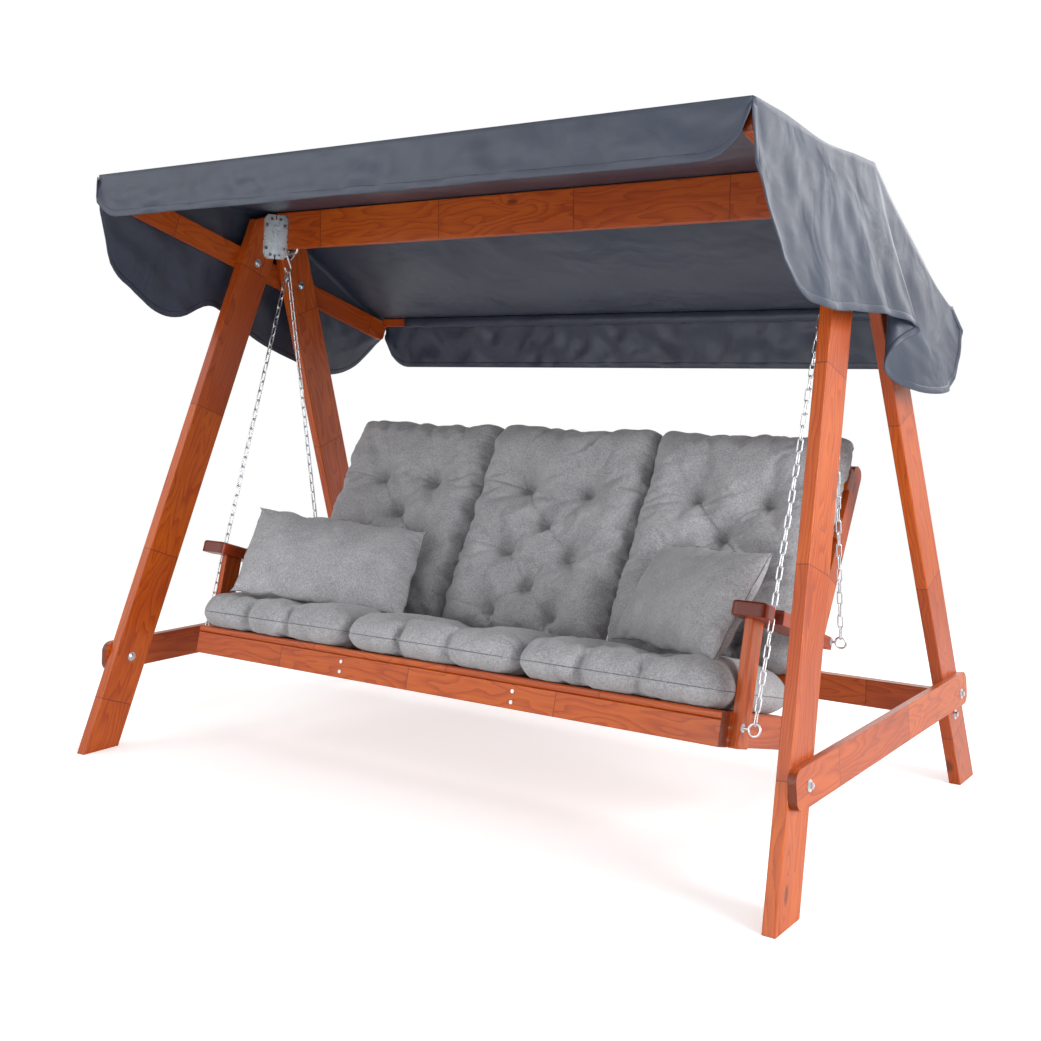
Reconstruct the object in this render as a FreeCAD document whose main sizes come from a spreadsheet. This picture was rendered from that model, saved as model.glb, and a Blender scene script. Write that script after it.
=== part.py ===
import FreeCAD, Part
import math
import os
import Sketcher

# Three seat garden swing: two leaning timber A-frames joined by a top beam and a rear
# crossbar, a cloth canopy on two sloping rafters, and a tilted bench hung on four chains.
# X runs along the bench, Y from front to back, Z up. The origin is on the ground, in the middle.

vector = FreeCAD.Vector
alongX = vector(1, 0, 0)
alongY = vector(0, 1, 0)
alongZ = vector(0, 0, 1)
sides = (("left", -1), ("right", 1))

os.makedirs("parts", exist_ok=True)
doc = FreeCAD.newDocument("GardenSwing")

# Driving sizes in millimetres and degrees
driving = {
    # A-frames
    "footHalfDepth": 700.0,
    "footHalfWidth": 1094.0,
    "leanAngle": 4.94,
    "legAngle": 20.1,
    "legWide": 120.0,
    "legThick": 32.0,
    "frontTopAngle": 16.0,
    "rearTopAngle": 37.5,
    "braceTall": 90.0,
    "braceThick": 20.0,
    "braceHalf": 604.0,
    "braceHeight": 275.0,
    "braceRound": 28.0,
    "edgeRound": 3.0,
    # top beam and rear crossbar
    "beamTop": 1652.0,
    "beamTall": 115.0,
    "beamThick": 32.0,
    "crossbarTall": 80.0,
    "crossbarThick": 32.0,
    "crossbarHeight": 234.0,
    # rafters and canopy rails
    "rafterTall": 66.0,
    "rafterThick": 22.0,
    "rafterAngle": 16.3,
    "rafterTopMiddle": 1502.0,
    "rafterFront": 645.0,
    "rafterRear": 598.0,
    "rafterRound": 16.0,
    "railTall": 28.0,
    "railDeep": 24.0,
    "frontRailRise": 5.0,
    "rearRailRise": 12.0,
    "frontRailFace": 658.0,
    "rearRailFace": 599.0,
    # steel corner brackets, screws and bolts
    "frontBracketTall": 140.0,
    "rearBracketTall": 95.0,
    "bracketWing": 55.0,
    "bracketPlate": 2.5,
    "bracketHole": 7.0,
    "bracketChamfer": 14.0,
    "frontBracketDrop": 3.0,
    "rearBracketDrop": 46.0,
    "screwHead": 10.0,
    "screwHeadTall": 2.5,
    "screwShank": 5.0,
    "screwLength": 15.0,
    "boltRod": 8.0,
    "boltHead": 20.0,
    "boltHeadTall": 4.0,
    "washerWide": 28.0,
    "washerThick": 1.8,
    "nutWide": 13.0,
    "nutTall": 6.5,
    "crossbarBoltSpread": 60.0,
    "crossbarBoltReach": 58.0,
    # hangers under the beam
    "chainOut": 52.0,
    "hangerRod": 8.0,
    "hangerHalf": 42.0,
    "hangerBend": 12.0,
    "hangerDrop": 13.0,
    "hangerSink": 12.0,
    "hangerSinkWide": 24.0,
    "hookWire": 6.0,
    "hookReach": 46.0,
    "hookLowerRadius": 13.0,
    "hookOpenAngle": 40.0,
    # chains and eye bolts
    "chainWire": 4.0,
    "chainPitch": 32.0,
    "chainWide": 16.0,
    "eyeWire": 6.0,
    "eyeRadius": 14.5,
    "eyeShank": 8.0,
    "frontEyeInset": 15.0,
    "frontEyeRise": 49.0,
    "rearEyeInset": 12.0,
    "rearEyeRise": 300.0,
    # bench base
    "benchTilt": 14.0,
    "benchFrontY": -457.0,
    "benchFrontZ": 302.0,
    "benchInset": 226.0,
    "apronTall": 63.0,
    "apronThick": 45.0,
    "slatThick": 20.0,
    "slatWide": 60.0,
    "slatGap": 14.0,
    "slatCount": 5.0,
    "lipRound": 7.0,
    "sideThick": 24.0,
    "seatRearRailAt": 380.0,
    "joistAt": 290.0,
    "cleatThick": 20.0,
    "cleatTall": 24.0,
    # arm posts and armrests
    "postThick": 22.0,
    "postWide": 63.0,
    "postAt": 57.0,
    "postRound": 6.0,
    "armThick": 35.0,
    "armFrontAt": 12.0,
    "armOverhang": 69.0,
    "armTop": 341.0,
    "armFall": 3.7,
    "armLong": 553.0,
    "armRearWide": 25.0,
    "armRound": 7.0,
    "armCornerRound": 18.0,
    "armBendRound": 60.0,
    "notchWide": 56.0,
    "notchDeep": 30.0,
    "notchRound": 9.0,
    # back
    "backAngle": 15.5,
    "backRearAt": 483.5,
    "stileWide": 60.0,
    "stileLong": 800.0,
    "stileRound": 24.0,
    "backSlatWide": 60.0,
    "backSlatGap": 86.0,
    "backSlatStart": 130.0,
    "backBattenThick": 22.0,
    "backBattenWide": 50.0,
    # cushions and pillows
    "cushionGap": 2.0,
    "cushionEndGap": 3.5,
    "seatPadLong": 460.0,
    "seatPadThick": 122.0,
    "seatPadOverhang": 30.0,
    "seatPadRim": 46.0,
    "seatPadPinch": 18.0,
    "seatPadDraw": 8.0,
    "backPadLong": 680.0,
    "backPadThick": 106.0,
    "backPadStart": 168.0,
    "backPadRim": 40.0,
    "backPadDraw": 10.0,
    "tuftRadius": 36.0,
    "tuftDepth": 30.0,
    "pillowWide": 525.0,
    "pillowTall": 300.0,
    "pillowThick": 124.0,
    "pillowRim": 7.0,
    "leftPillowInset": 334.0,
    "leftPillowY": -226.0,
    "leftPillowZ": 581.0,
    "leftPillowTurn": 31.9,
    "leftPillowLean": 50.2,
    "leftPillowRoll": -8.7,
    "rightPillowInset": 245.5,
    "rightPillowY": -140.5,
    "rightPillowZ": 576.4,
    "rightPillowTurn": -36.1,
    "rightPillowLean": 56.5,
    "rightPillowRoll": 5.0,
    # canopy cloth
    "clothThick": 2.5,
    "clothSideGap": 3.0,
    "frontSag": 7.0,
    "rearSag": 16.0,
    "valanceDrop": 122.0,
    "valanceFlare": 14.0,
    "valanceCorner": 100.0,
    "rearValanceDrop": 172.0,
    "rearValanceFlare": 20.0,
    "flapDrop": 370.0,
    "flapFlare": 48.0,
    # clearances
    "seatGap": 0.3,
    "holeGap": 0.4,
    "cutOver": 5.0,
}


# Sizes that follow from the driving ones
following = {
    "benchHalf": "footHalfWidth - benchInset",
    "chainPlane": "benchHalf + chainOut",
    "armInner": "benchHalf - postThick",
    "armOuter": "benchHalf + armOverhang",
    "cushionWide": "(benchHalf - cushionEndGap - cushionGap) * 2 / 3",
    "leftPillowX": "leftPillowInset - benchHalf",
    "rightPillowX": "benchHalf - rightPillowInset",
}


# A size that carries its cell formula and its number together
class Measure:
    def __init__(self, text, value):
        self.text = text
        self.value = value

    def __add__(self, other):
        return combine(self, "+", measure(other))

    def __radd__(self, other):
        return combine(measure(other), "+", self)

    def __sub__(self, other):
        return combine(self, "-", measure(other))

    def __rsub__(self, other):
        return combine(measure(other), "-", self)

    def __mul__(self, other):
        return combine(self, "*", measure(other))

    def __rmul__(self, other):
        return combine(measure(other), "*", self)

    def __truediv__(self, other):
        return combine(self, "/", measure(other))

    def __neg__(self):
        return combine(measure(0), "-", self)


def measure(thing):
    if isinstance(thing, Measure):
        return thing
    return Measure(f"({thing})", float(thing))


def combine(first, sign, second):
    results = {
        "+": lambda one, two: one + two,
        "-": lambda one, two: one - two,
        "*": lambda one, two: one * two,
        "/": lambda one, two: one / two,
    }
    return Measure(f"({first.text} {sign} {second.text})", results[sign](first.value, second.value))


def sine(angle):
    return Measure(f"sin({angle.text} * 1 deg)", math.sin(math.radians(angle.value)))


def cosine(angle):
    return Measure(f"cos({angle.text} * 1 deg)", math.cos(math.radians(angle.value)))


def tangent(angle):
    return Measure(f"tan({angle.text} * 1 deg)", math.tan(math.radians(angle.value)))


class Sizes:
    pass


# The sheet keeps one named cell for each driving size. cell.NAME is bound to it by formula,
# and size.NAME is its plain number, for the free forms.
sheet = doc.addObject("Spreadsheet::Sheet", "Sizes")
cell = Sizes()
size = Sizes()
entries = {alias: str(number) for alias, number in driving.items()}
entries.update({alias: f"={formula}" for alias, formula in following.items()})
for row, (alias, entry) in enumerate(entries.items(), start=1):
    sheet.set(f"A{row}", alias)
    sheet.set(f"B{row}", entry)
    sheet.setAlias(f"B{row}", alias)
doc.recompute()
for alias in entries:
    setattr(size, alias, float(sheet.get(alias)))
    setattr(cell, alias, Measure(f"Sizes.{alias}", float(sheet.get(alias))))

subParts = []


def bind(thing, name, length):
    thing.setExpression(name, measure(length).text)


# Frames of reference: the ground, each leaning A-frame, the tilted bench and its reclined back
def place(thing, base, axis, angle):
    start = vector(*(measure(part).value for part in base))
    thing.Placement = FreeCAD.Placement(start, FreeCAD.Rotation(axis, measure(angle).value))
    for letter, part in zip("xyz", base):
        bind(thing, f".Placement.Base.{letter}", part)
    bind(thing, ".Placement.Rotation.Angle", angle)


def onGround(thing):
    place(thing, (0, 0, 0), alongZ, 0)


def onFrame(side):
    def settle(thing):
        place(thing, (side * cell.footHalfWidth, 0, 0), vector(0, -side, 0), cell.leanAngle)
    return settle


def onBench(thing):
    place(thing, (0, cell.benchFrontY, cell.benchFrontZ), vector(-1, 0, 0), cell.benchTilt)


backTilt = cell.benchTilt + cell.backAngle
backY = cell.benchFrontY + cell.backRearAt * cosine(cell.benchTilt)
backZ = cell.benchFrontZ - cell.backRearAt * sine(cell.benchTilt)


def onBack(thing):
    place(thing, (0, backY, backZ), vector(-1, 0, 0), backTilt)


def register(thing, name):
    thing.Label = name
    subParts.append(thing)
    return thing


def newBody(name, settle):
    body = doc.addObject("PartDesign::Body", name)
    settle(body)
    return register(body, name)


def originItem(body, role):
    return next(item for item in body.Origin.OriginFeatures if item.Role == role)


def block(body, corner, extent):
    board = body.newObject("PartDesign::AdditiveBox", "Block")
    for name, length in zip(("Length", "Width", "Height"), extent):
        bind(board, name, length)
    for letter, part in zip("xyz", corner):
        bind(board, f".Placement.Base.{letter}", part)
    doc.recompute()
    return board


def outline(body, role, points, level):
    sketch = body.newObject("Sketcher::SketchObject", "Outline")
    sketch.AttachmentSupport = [(originItem(body, role), "")]
    sketch.MapMode = "FlatFace"
    spots = [(measure(across), measure(up)) for across, up in points]
    count = len(spots)
    for index, (across, up) in enumerate(spots):
        nextAcross, nextUp = spots[(index + 1) % count]
        start = vector(across.value, up.value, 0)
        sketch.addGeometry(Part.LineSegment(start, vector(nextAcross.value, nextUp.value, 0)))
    for index in range(count):
        sketch.addConstraint(Sketcher.Constraint("Coincident", index, 2, (index + 1) % count, 1))
    for index, spot in enumerate(spots):
        for kind, part in zip(("DistanceX", "DistanceY"), spot):
            number = sketch.addConstraint(Sketcher.Constraint(kind, index, 1, part.value))
            sketch.setExpression(f"Constraints[{number}]", part.text)
    bind(sketch, ".AttachmentOffset.Base.z", level)
    return sketch


def pad(body, sketch, length):
    board = body.newObject("PartDesign::Pad", "Pad")
    board.Profile = sketch
    bind(board, "Length", length)
    doc.recompute()
    return board


def pocket(body, sketch):
    before = body.Shape.Volume
    cut = body.newObject("PartDesign::Pocket", "Cut")
    cut.Profile = sketch
    cut.Type = "ThroughAll"
    cut.SideType = "Symmetric"
    doc.recompute()
    if not body.Shape.Volume < before:
        raise RuntimeError(f"a cut in {body.Label} removes nothing")
    return cut


def drill(body, start, axis, angle, wide, deep):
    # a round hole from its start point, along +Z turned by the angle about the axis
    cut = body.newObject("PartDesign::SubtractiveCylinder", "Hole")
    bind(cut, "Radius", wide / 2)
    bind(cut, "Height", deep)
    cut.Placement = FreeCAD.Placement(vector(), FreeCAD.Rotation(axis, measure(angle).value))
    bind(cut, ".Placement.Rotation.Angle", angle)
    for letter, part in zip("xyz", start):
        bind(cut, f".Placement.Base.{letter}", part)
    return cut


rightAngle = 90


def bracketHoles(end):
    # screw places of one bracket wing: distance from the beam's face or the leg, and level
    tall = cell.frontBracketTall if end < 0 else cell.rearBracketTall
    drop = cell.frontBracketDrop if end < 0 else cell.rearBracketDrop
    base = legTop - drop - tall
    return [(along * cell.bracketWing, base + up * tall) for along, up in bracketHoleShares]


def overBeam(level):
    return level.value > (beamBottom / leanCosine).value + size.bracketHole


def drillAcross(body, near, thick, across, up, wide):
    # a hole along X through a board that spans near to near + thick
    start = (near - cell.cutOver, across, up)
    return drill(body, start, alongY, rightAngle, wide, thick + 2 * cell.cutOver)


def pilot(body, start, axis, angle):
    # a screw hole from a face into the wood; the turned +Z points into the board
    turn = FreeCAD.Rotation(axis, angle)
    inward = turn.multVec(alongZ)
    cut = body.newObject("PartDesign::SubtractiveCylinder", "PilotHole")
    bind(cut, "Radius", (cell.screwShank + cell.holeGap) / 2)
    bind(cut, "Height", cell.screwLength + 2 * cell.cutOver)
    cut.Placement = FreeCAD.Placement(vector(), turn)
    for letter, part, way in zip("xyz", start, inward):
        bind(cut, f".Placement.Base.{letter}", part - round(way) * cell.cutOver)
    return cut


def edgesAlong(shape, axis, keep=None):
    names = []
    for index, edge in enumerate(shape.Edges, start=1):
        if edge.Curve.TypeId != "Part::GeomLine":
            continue
        along = abs(edge.tangentAt(edge.FirstParameter).dot(axis)) > math.cos(math.radians(1))
        if along and (keep is None or keep(edge)):
            names.append(f"Edge{index}")
    return names


def roundEdges(body, base, names, radius):
    rounded = body.newObject("PartDesign::Fillet", "Rounded")
    rounded.Base = (base, names)
    bind(rounded, "Radius", radius)
    doc.recompute()
    return rounded


def board(name, settle, corner, extent, axis, radius=cell.edgeRound):
    # a planed board with its long edges eased
    body = newBody(name, settle)
    plank = block(body, corner, extent)
    roundEdges(body, plank, edgesAlong(plank.Shape, axis), radius)
    return body


def outwards(side, near, far):
    # start and length of a stretch that lies near to far from the middle plane on one side
    return (measure(near) if side > 0 else -far), far - near


# Levels of the A-frames, measured in their own leaning planes
legSlope = tangent(cell.legAngle)
leanSlope = tangent(cell.leanAngle)
leanCosine = cosine(cell.leanAngle)
leanSine = sine(cell.leanAngle)
footLong = cell.legWide / cosine(cell.legAngle)
footDrop = cell.legThick * leanSlope
legTop = (cell.beamTop - cell.legThick * leanSine) / leanCosine
halfBeam = cell.beamThick / 2
beamBottom = cell.beamTop - cell.beamTall
rafterSlope = tangent(cell.rafterAngle)
legMiddle = cell.footHalfDepth - footLong / 2
rafterMiddle = cell.rafterTopMiddle - cell.rafterTall / (2 * cosine(cell.rafterAngle))
braceLevel = cell.braceHeight / leanCosine
crossbarLevel = cell.crossbarHeight / leanCosine
braceBoltY = legMiddle - legSlope * braceLevel
crossbarBoltY = legMiddle - legSlope * crossbarLevel
boltHole = cell.boltRod + cell.holeGap
bracketHoleShares = ((0.42, 0.1), (0.78, 0.24), (0.78, 0.76), (0.42, 0.9))
rafterOuter = cell.legThick + cell.rafterThick

frontBoltZ = (rafterMiddle + rafterSlope * legMiddle) / (1 + rafterSlope * legSlope)
rearBoltZ = (rafterMiddle - rafterSlope * legMiddle) / (1 - rafterSlope * legSlope)
rafterBolts = (
    (legSlope * frontBoltZ - legMiddle, frontBoltZ),
    (legMiddle - legSlope * rearBoltZ, rearBoltZ),
)
lowBoltLevel = crossbarLevel - cell.crossbarBoltSpread / 2
highBoltLevel = crossbarLevel + cell.crossbarBoltSpread / 2


def frameEdge(offset, level):
    # distance from the middle plane to a leaning face that starts offset outside the legs
    return cell.footHalfWidth + offset - level * leanSlope


# Each leg is a sawn board: level foot, upright cut against the beam, sloping top
def makeLeg(name, side, end):
    body = newBody(name, onFrame(side))
    fall = tangent(cell.frontTopAngle if end < 0 else cell.rearTopAngle)
    outerFoot = cell.footHalfDepth + legSlope * footDrop
    kinkZ = (cell.footHalfDepth - footLong - halfBeam) / legSlope
    topY = (cell.footHalfDepth - legSlope * (legTop + fall * halfBeam)) / (1 - legSlope * fall)
    topZ = legTop - (topY - halfBeam) * fall
    points = [(outerFoot, -footDrop), (outerFoot - footLong, -footDrop), (halfBeam, kinkZ)]
    points += [(halfBeam, legTop), (topY, topZ)]
    points = [(end * across, up) for across, up in points]
    start, thick = outwards(side, 0, cell.legThick)
    plank = pad(body, outline(body, "YZ_Plane", points, start), thick)
    slanted = vector(0, -end * math.sin(math.radians(size.legAngle)), math.cos(math.radians(size.legAngle)))
    roundEdges(body, plank, edgesAlong(plank.Shape, slanted), cell.edgeRound)
    over = cell.cutOver
    farX = cell.legThick + over
    wedge = [(-over, over * leanSlope), (farX, -farX * leanSlope)]
    wedge += [(farX, -(2 * footDrop + over)), (-over, -(2 * footDrop + over))]
    pocket(body, outline(body, "XZ_Plane", [(side * across, up) for across, up in wedge], 0))
    rafterY, rafterZ = rafterBolts[0] if end < 0 else rafterBolts[1]
    drillAcross(body, start, thick, rafterY, rafterZ, boltHole)
    if end < 0:
        drillAcross(body, start, thick, -braceBoltY, braceLevel, boltHole)
    else:
        drillAcross(body, start, thick, crossbarBoltY, lowBoltLevel, boltHole)
        drillAcross(body, start, thick, crossbarBoltY, highBoltLevel, boltHole)
    for along, up in bracketHoles(end):
        pilot(body, (0, end * (halfBeam + along), up), alongY, side * rightAngle)
    doc.recompute()


# The side brace joins the two legs of an A-frame on their outer faces
def makeBrace(name, side):
    body = newBody(name, onFrame(side))
    start, thick = outwards(side, cell.legThick, cell.legThick + cell.braceThick)
    corner = (start, -cell.braceHalf, braceLevel - cell.braceTall / 2)
    plank = block(body, corner, (thick, 2 * cell.braceHalf, cell.braceTall))
    roundEdges(body, plank, edgesAlong(plank.Shape, alongX), cell.braceRound)
    drillAcross(body, start, thick, -braceBoltY, braceLevel, boltHole)
    drillAcross(body, start, thick, crossbarBoltY, highBoltLevel, boltHole)
    doc.recompute()


# Boards along X whose ends are cut to the leaning faces
def leaningBoard(name, rearFace, thick, low, high, offset):
    body = newBody(name, onGround)
    lowX = frameEdge(offset, low)
    highX = frameEdge(offset, high)
    points = [(-lowX, low), (lowX, low), (highX, high), (-highX, high)]
    plank = pad(body, outline(body, "XZ_Plane", points, -rearFace), thick)
    roundEdges(body, plank, edgesAlong(plank.Shape, alongX), cell.edgeRound)
    return body


def makeBeam():
    outside = cell.legThick / leanCosine
    body = leaningBoard("top_beam", halfBeam, cell.beamThick, beamBottom, cell.beamTop, outside)
    rodHole = cell.hangerRod + cell.holeGap
    deep = cell.beamTall + 2 * cell.cutOver
    for name, side in sides:
        for end in (-1, 1):
            across = side * cell.chainPlane + end * cell.hangerHalf
            drill(body, (across, 0, beamBottom - cell.cutOver), alongZ, 0, rodHole, deep)
            start = (across, 0, cell.beamTop - cell.hangerSink)
            drill(body, start, alongZ, 0, cell.hangerSinkWide, cell.hangerSink + cell.cutOver)
            for along, up in bracketHoles(end):
                if not overBeam(up):
                    continue
                # the screw line leans with the A-frame, so its place is taken back to the ground frame
                across = side * (cell.footHalfWidth - along * leanCosine - up * leanSine)
                level = up * leanCosine - along * leanSine
                pilot(body, (across, end * halfBeam, level), alongX, end * rightAngle)
    doc.recompute()


def makeCrossbar():
    low = cell.crossbarHeight - cell.crossbarTall / 2
    rearFace = crossbarBoltY + cell.crossbarThick / 2
    body = leaningBoard("rear_crossbar", rearFace, cell.crossbarThick, low, low + cell.crossbarTall, 0)
    inside = cell.crossbarBoltReach + cell.cutOver
    for name, side in sides:
        for level in (lowBoltLevel, highBoltLevel):
            startX = side * (cell.footHalfWidth - level * leanSine - inside * leanCosine)
            start = (startX, crossbarBoltY, level * leanCosine - inside * leanSine)
            drill(body, start, alongY, side * (rightAngle - cell.leanAngle), boltHole, inside + cell.cutOver)
    doc.recompute()


def rafterLine(across):
    # top edge of a rafter in the plane of its A-frame
    return cell.rafterTopMiddle - across * rafterSlope


def makeRafter(name, side):
    body = newBody(name, onFrame(side))
    backY = cell.rafterTall * sine(cell.rafterAngle)
    downZ = cell.rafterTall * cosine(cell.rafterAngle)
    frontZ = rafterLine(-cell.rafterFront)
    rearZ = rafterLine(cell.rafterRear)
    points = [(-cell.rafterFront, frontZ), (-cell.rafterFront - backY, frontZ - downZ)]
    points += [(cell.rafterRear - backY, rearZ - downZ), (cell.rafterRear, rearZ)]
    start, thick = outwards(side, cell.legThick, rafterOuter)
    plank = pad(body, outline(body, "YZ_Plane", points, start), thick)
    roundEdges(body, plank, edgesAlong(plank.Shape, alongX), cell.rafterRound)
    for across, up in rafterBolts:
        drillAcross(body, start, thick, across, up, boltHole)
    doc.recompute()


# The canopy rails lie between the rafters near their ends
def railTop(middle, rise):
    inFrame = cell.rafterTopMiddle - middle * rafterSlope
    return inFrame * leanCosine + cell.legThick * leanSine + rise


frontRailMiddle = cell.railDeep / 2 - cell.frontRailFace
rearRailMiddle = cell.rearRailFace - cell.railDeep / 2
frontRailTop = railTop(frontRailMiddle, cell.frontRailRise)
rearRailTop = railTop(rearRailMiddle, cell.rearRailRise)


def makeRails():
    offset = cell.legThick / leanCosine
    rails = (("front_canopy_rail", frontRailMiddle, frontRailTop), ("rear_canopy_rail", rearRailMiddle, rearRailTop))
    for name, middle, top in rails:
        leaningBoard(name, middle + cell.railDeep / 2, cell.railDeep, top - cell.railTall, top, offset)


# The bench base: apron, lip, side rails, joists, cleats and slats, all in the tilted frame
backSlope = tangent(cell.backAngle)
backCosine = cosine(cell.backAngle)
backSine = sine(cell.backAngle)
railInner = cell.benchHalf - cell.sideThick
seatTop = cell.apronTall + cell.slatThick
postOuter = cell.benchHalf + cell.postThick
frontEyeU = cell.postAt + cell.frontEyeInset
railScrewU = (cell.apronThick + cell.postAt) / 2
screwHeightShares = (0.28, 0.72)
eyeHole = cell.eyeShank + cell.holeGap


def stileFront(level):
    return cell.backRearAt - cell.stileWide / backCosine + level * backSlope


def makeBenchBase():
    apron = (2 * cell.benchHalf, cell.apronThick, cell.apronTall)
    body = board("front_apron", onBench, (-cell.benchHalf, 0, 0), apron, alongX)
    for name, side in sides:
        for share in screwHeightShares:
            pilot(body, (side * cell.joistAt, 0, share * cell.apronTall), alongX, -rightAngle)
    doc.recompute()
    lip = (2 * cell.benchHalf, cell.apronThick, cell.slatThick)
    board("front_seat_slat", onBench, (-cell.benchHalf, 0, cell.apronTall), lip, alongX, cell.lipRound)
    for name, side in sides:
        body = newBody(f"{name}_side_rail", onBench)
        points = [(cell.apronThick, 0), (stileFront(0), 0), (stileFront(seatTop), seatTop)]
        points += [(cell.apronThick, seatTop)]
        start, thick = outwards(side, railInner, cell.benchHalf)
        plank = pad(body, outline(body, "YZ_Plane", points, start), thick)
        roundEdges(body, plank, edgesAlong(plank.Shape, alongY), cell.edgeRound)
        drillAcross(body, start, thick, frontEyeU, cell.frontEyeRise, eyeHole)
        for share in screwHeightShares:
            spot = (side * cell.benchHalf, railScrewU, share * cell.apronTall)
            pilot(body, spot, alongY, -side * rightAngle)
        doc.recompute()
    body = newBody("seat_joists", onBench)
    for name, side in sides:
        corner = (side * cell.joistAt - cell.sideThick / 2, cell.apronThick, 0)
        block(body, corner, (cell.sideThick, cell.seatRearRailAt - cell.apronThick, cell.apronTall))
    rear = (-railInner, cell.seatRearRailAt, 0)
    board("rear_seat_rail", onBench, rear, (2 * railInner, cell.sideThick, cell.apronTall), alongX)
    body = newBody("seat_cleats", onBench)
    cleatFront = cell.postAt + cell.postWide
    for name, side in sides:
        start, thick = outwards(side, railInner - cell.cleatThick, railInner)
        corner = (start, cleatFront, cell.apronTall - cell.cleatTall)
        block(body, corner, (thick, cell.seatRearRailAt - cleatFront, cell.cleatTall))


def makeSeatSlats():
    body = newBody("seat_slats", onBench)
    first = block(body, (-railInner, cell.apronThick + cell.slatGap, cell.apronTall),
                  (2 * railInner, cell.slatWide, cell.slatThick))
    repeat(body, first, "Y_Axis", cell.slatWide + cell.slatGap)
    roundEdges(body, body.Tip, edgesAlong(body.Tip.Shape, alongX), cell.edgeRound)


def repeat(body, first, axis, pitch):
    row = body.newObject("PartDesign::LinearPattern", "Row")
    doc.recompute()
    row.Originals = [first]
    row.Direction = (originItem(body, axis), [""])
    bind(row, "Length", pitch * (cell.slatCount - 1))
    bind(row, "Occurrences", cell.slatCount)
    body.Tip = row
    doc.recompute()


# Arm posts stand outside the side rails and carry the front of the armrests
armSlope = tangent(cell.armFall)
armCosine = cosine(cell.armFall)
hangerZ = beamBottom - cell.hangerDrop
hookZ = hangerZ - cell.hookReach


def armUnder(across):
    return cell.armTop - cell.armThick / armCosine - (across - cell.armFrontAt) * armSlope


def isOuterPostEdge(edge):
    return abs(edge.CenterOfMass.x) > size.benchHalf + size.postThick / 2


def makePost(name, side):
    body = newBody(name, onBench)
    rear = cell.postAt + cell.postWide
    points = [(cell.postAt, 0), (rear, 0), (rear, armUnder(rear)), (cell.postAt, armUnder(cell.postAt))]
    start, thick = outwards(side, cell.benchHalf, postOuter)
    plank = pad(body, outline(body, "YZ_Plane", points, start), thick)
    roundEdges(body, plank, edgesAlong(plank.Shape, alongZ, isOuterPostEdge), cell.postRound)
    drillAcross(body, start, thick, frontEyeU, cell.frontEyeRise, eyeHole)
    doc.recompute()


# Rear eye bolts pass through the armrest end and the stile, so both holes share one place
rearEyeU = cell.backRearAt + cell.rearEyeRise * backSine - cell.rearEyeInset * backCosine
rearEyeW = cell.rearEyeRise * backCosine + cell.rearEyeInset * backSine


def benchSpot(worldY, worldZ):
    # a world place in the tilted frame of the bench
    fromY = worldY - cell.benchFrontY
    fromZ = worldZ - cell.benchFrontZ
    along = fromY * cosine(cell.benchTilt) - fromZ * sine(cell.benchTilt)
    return along, fromY * sine(cell.benchTilt) + fromZ * cosine(cell.benchTilt)


def makeArmrest(name, side):
    body = newBody(name, onBench)
    # the board is laid out flat in the XY plane and then sloped about its front top edge
    bendShare, tailShare, innerShare, innerTailShare = 0.42, 0.84, 0.55, 0.78
    tail = cell.benchHalf + cell.armRearWide
    plan = [(cell.armInner, 0), (cell.armOuter, 0), (cell.armOuter, bendShare * cell.armLong)]
    plan += [(tail, tailShare * cell.armLong), (tail, cell.armLong), (cell.benchHalf, cell.armLong)]
    plan += [(cell.benchHalf, innerTailShare * cell.armLong), (cell.armInner, innerShare * cell.armLong)]
    sketch = outline(body, "XY_Plane", [(side * across, along) for across, along in plan], 0)
    sketch.AttachmentOffset = FreeCAD.Placement(vector(), FreeCAD.Rotation(vector(-1, 0, 0), size.armFall))
    bind(sketch, ".AttachmentOffset.Rotation.Angle", cell.armFall)
    startY = cell.armFrontAt - cell.armThick * sine(cell.armFall)
    bind(sketch, ".AttachmentOffset.Base.y", startY)
    bind(sketch, ".AttachmentOffset.Base.z", cell.armTop - cell.armThick * armCosine)
    plank = pad(body, sketch, cell.armThick)
    upright = vector(0, math.sin(math.radians(size.armFall)), math.cos(math.radians(size.armFall)))
    corners = edgesAlong(plank.Shape, upright, isFrontCorner)
    shaped = roundEdges(body, plank, corners, cell.armCornerRound)
    bends = edgesAlong(shaped.Shape, upright, isBend)
    shaped = roundEdges(body, shaped, bends, cell.armBendRound)
    # the front chain passes through a notch in the outer edge
    hookU, hookW = benchSpot(measure(0), hookZ)
    middleW = armUnder(cell.postAt)
    notchU = frontEyeU + (middleW - cell.frontEyeRise) * (hookU - frontEyeU) / (hookW - cell.frontEyeRise)
    near = cell.armOuter - cell.notchDeep
    far = cell.armOuter + cell.cutOver
    notch = [(near, notchU - cell.notchWide / 2), (far, notchU - cell.notchWide / 2)]
    notch += [(far, notchU + cell.notchWide / 2), (near, notchU + cell.notchWide / 2)]
    cut = pocket(body, outline(body, "XY_Plane", [(side * across, along) for across, along in notch], 0))
    shaped = roundEdges(body, cut, edgesAlong(cut.Shape, alongZ, isNotchCorner), cell.notchRound)
    top = topOutline(shaped.Shape, upright)
    roundEdges(body, shaped, top, cell.armRound)
    start, thick = outwards(side, cell.benchHalf, tail)
    drillAcross(body, start, thick, rearEyeU, rearEyeW, eyeHole)
    doc.recompute()


def isFrontCorner(edge):
    return edge.CenterOfMass.y < size.armFrontAt + size.armThick


def isBend(edge):
    # the upright edges where the plan turns, between the corners and the rear end
    last = size.armFrontAt + size.armLong * math.cos(math.radians(size.armFall)) - size.armThick
    return not isFrontCorner(edge) and edge.CenterOfMass.y < last


def isNotchCorner(edge):
    return abs(abs(edge.CenterOfMass.x) - size.armOuter + size.notchDeep) < size.seatGap


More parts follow.
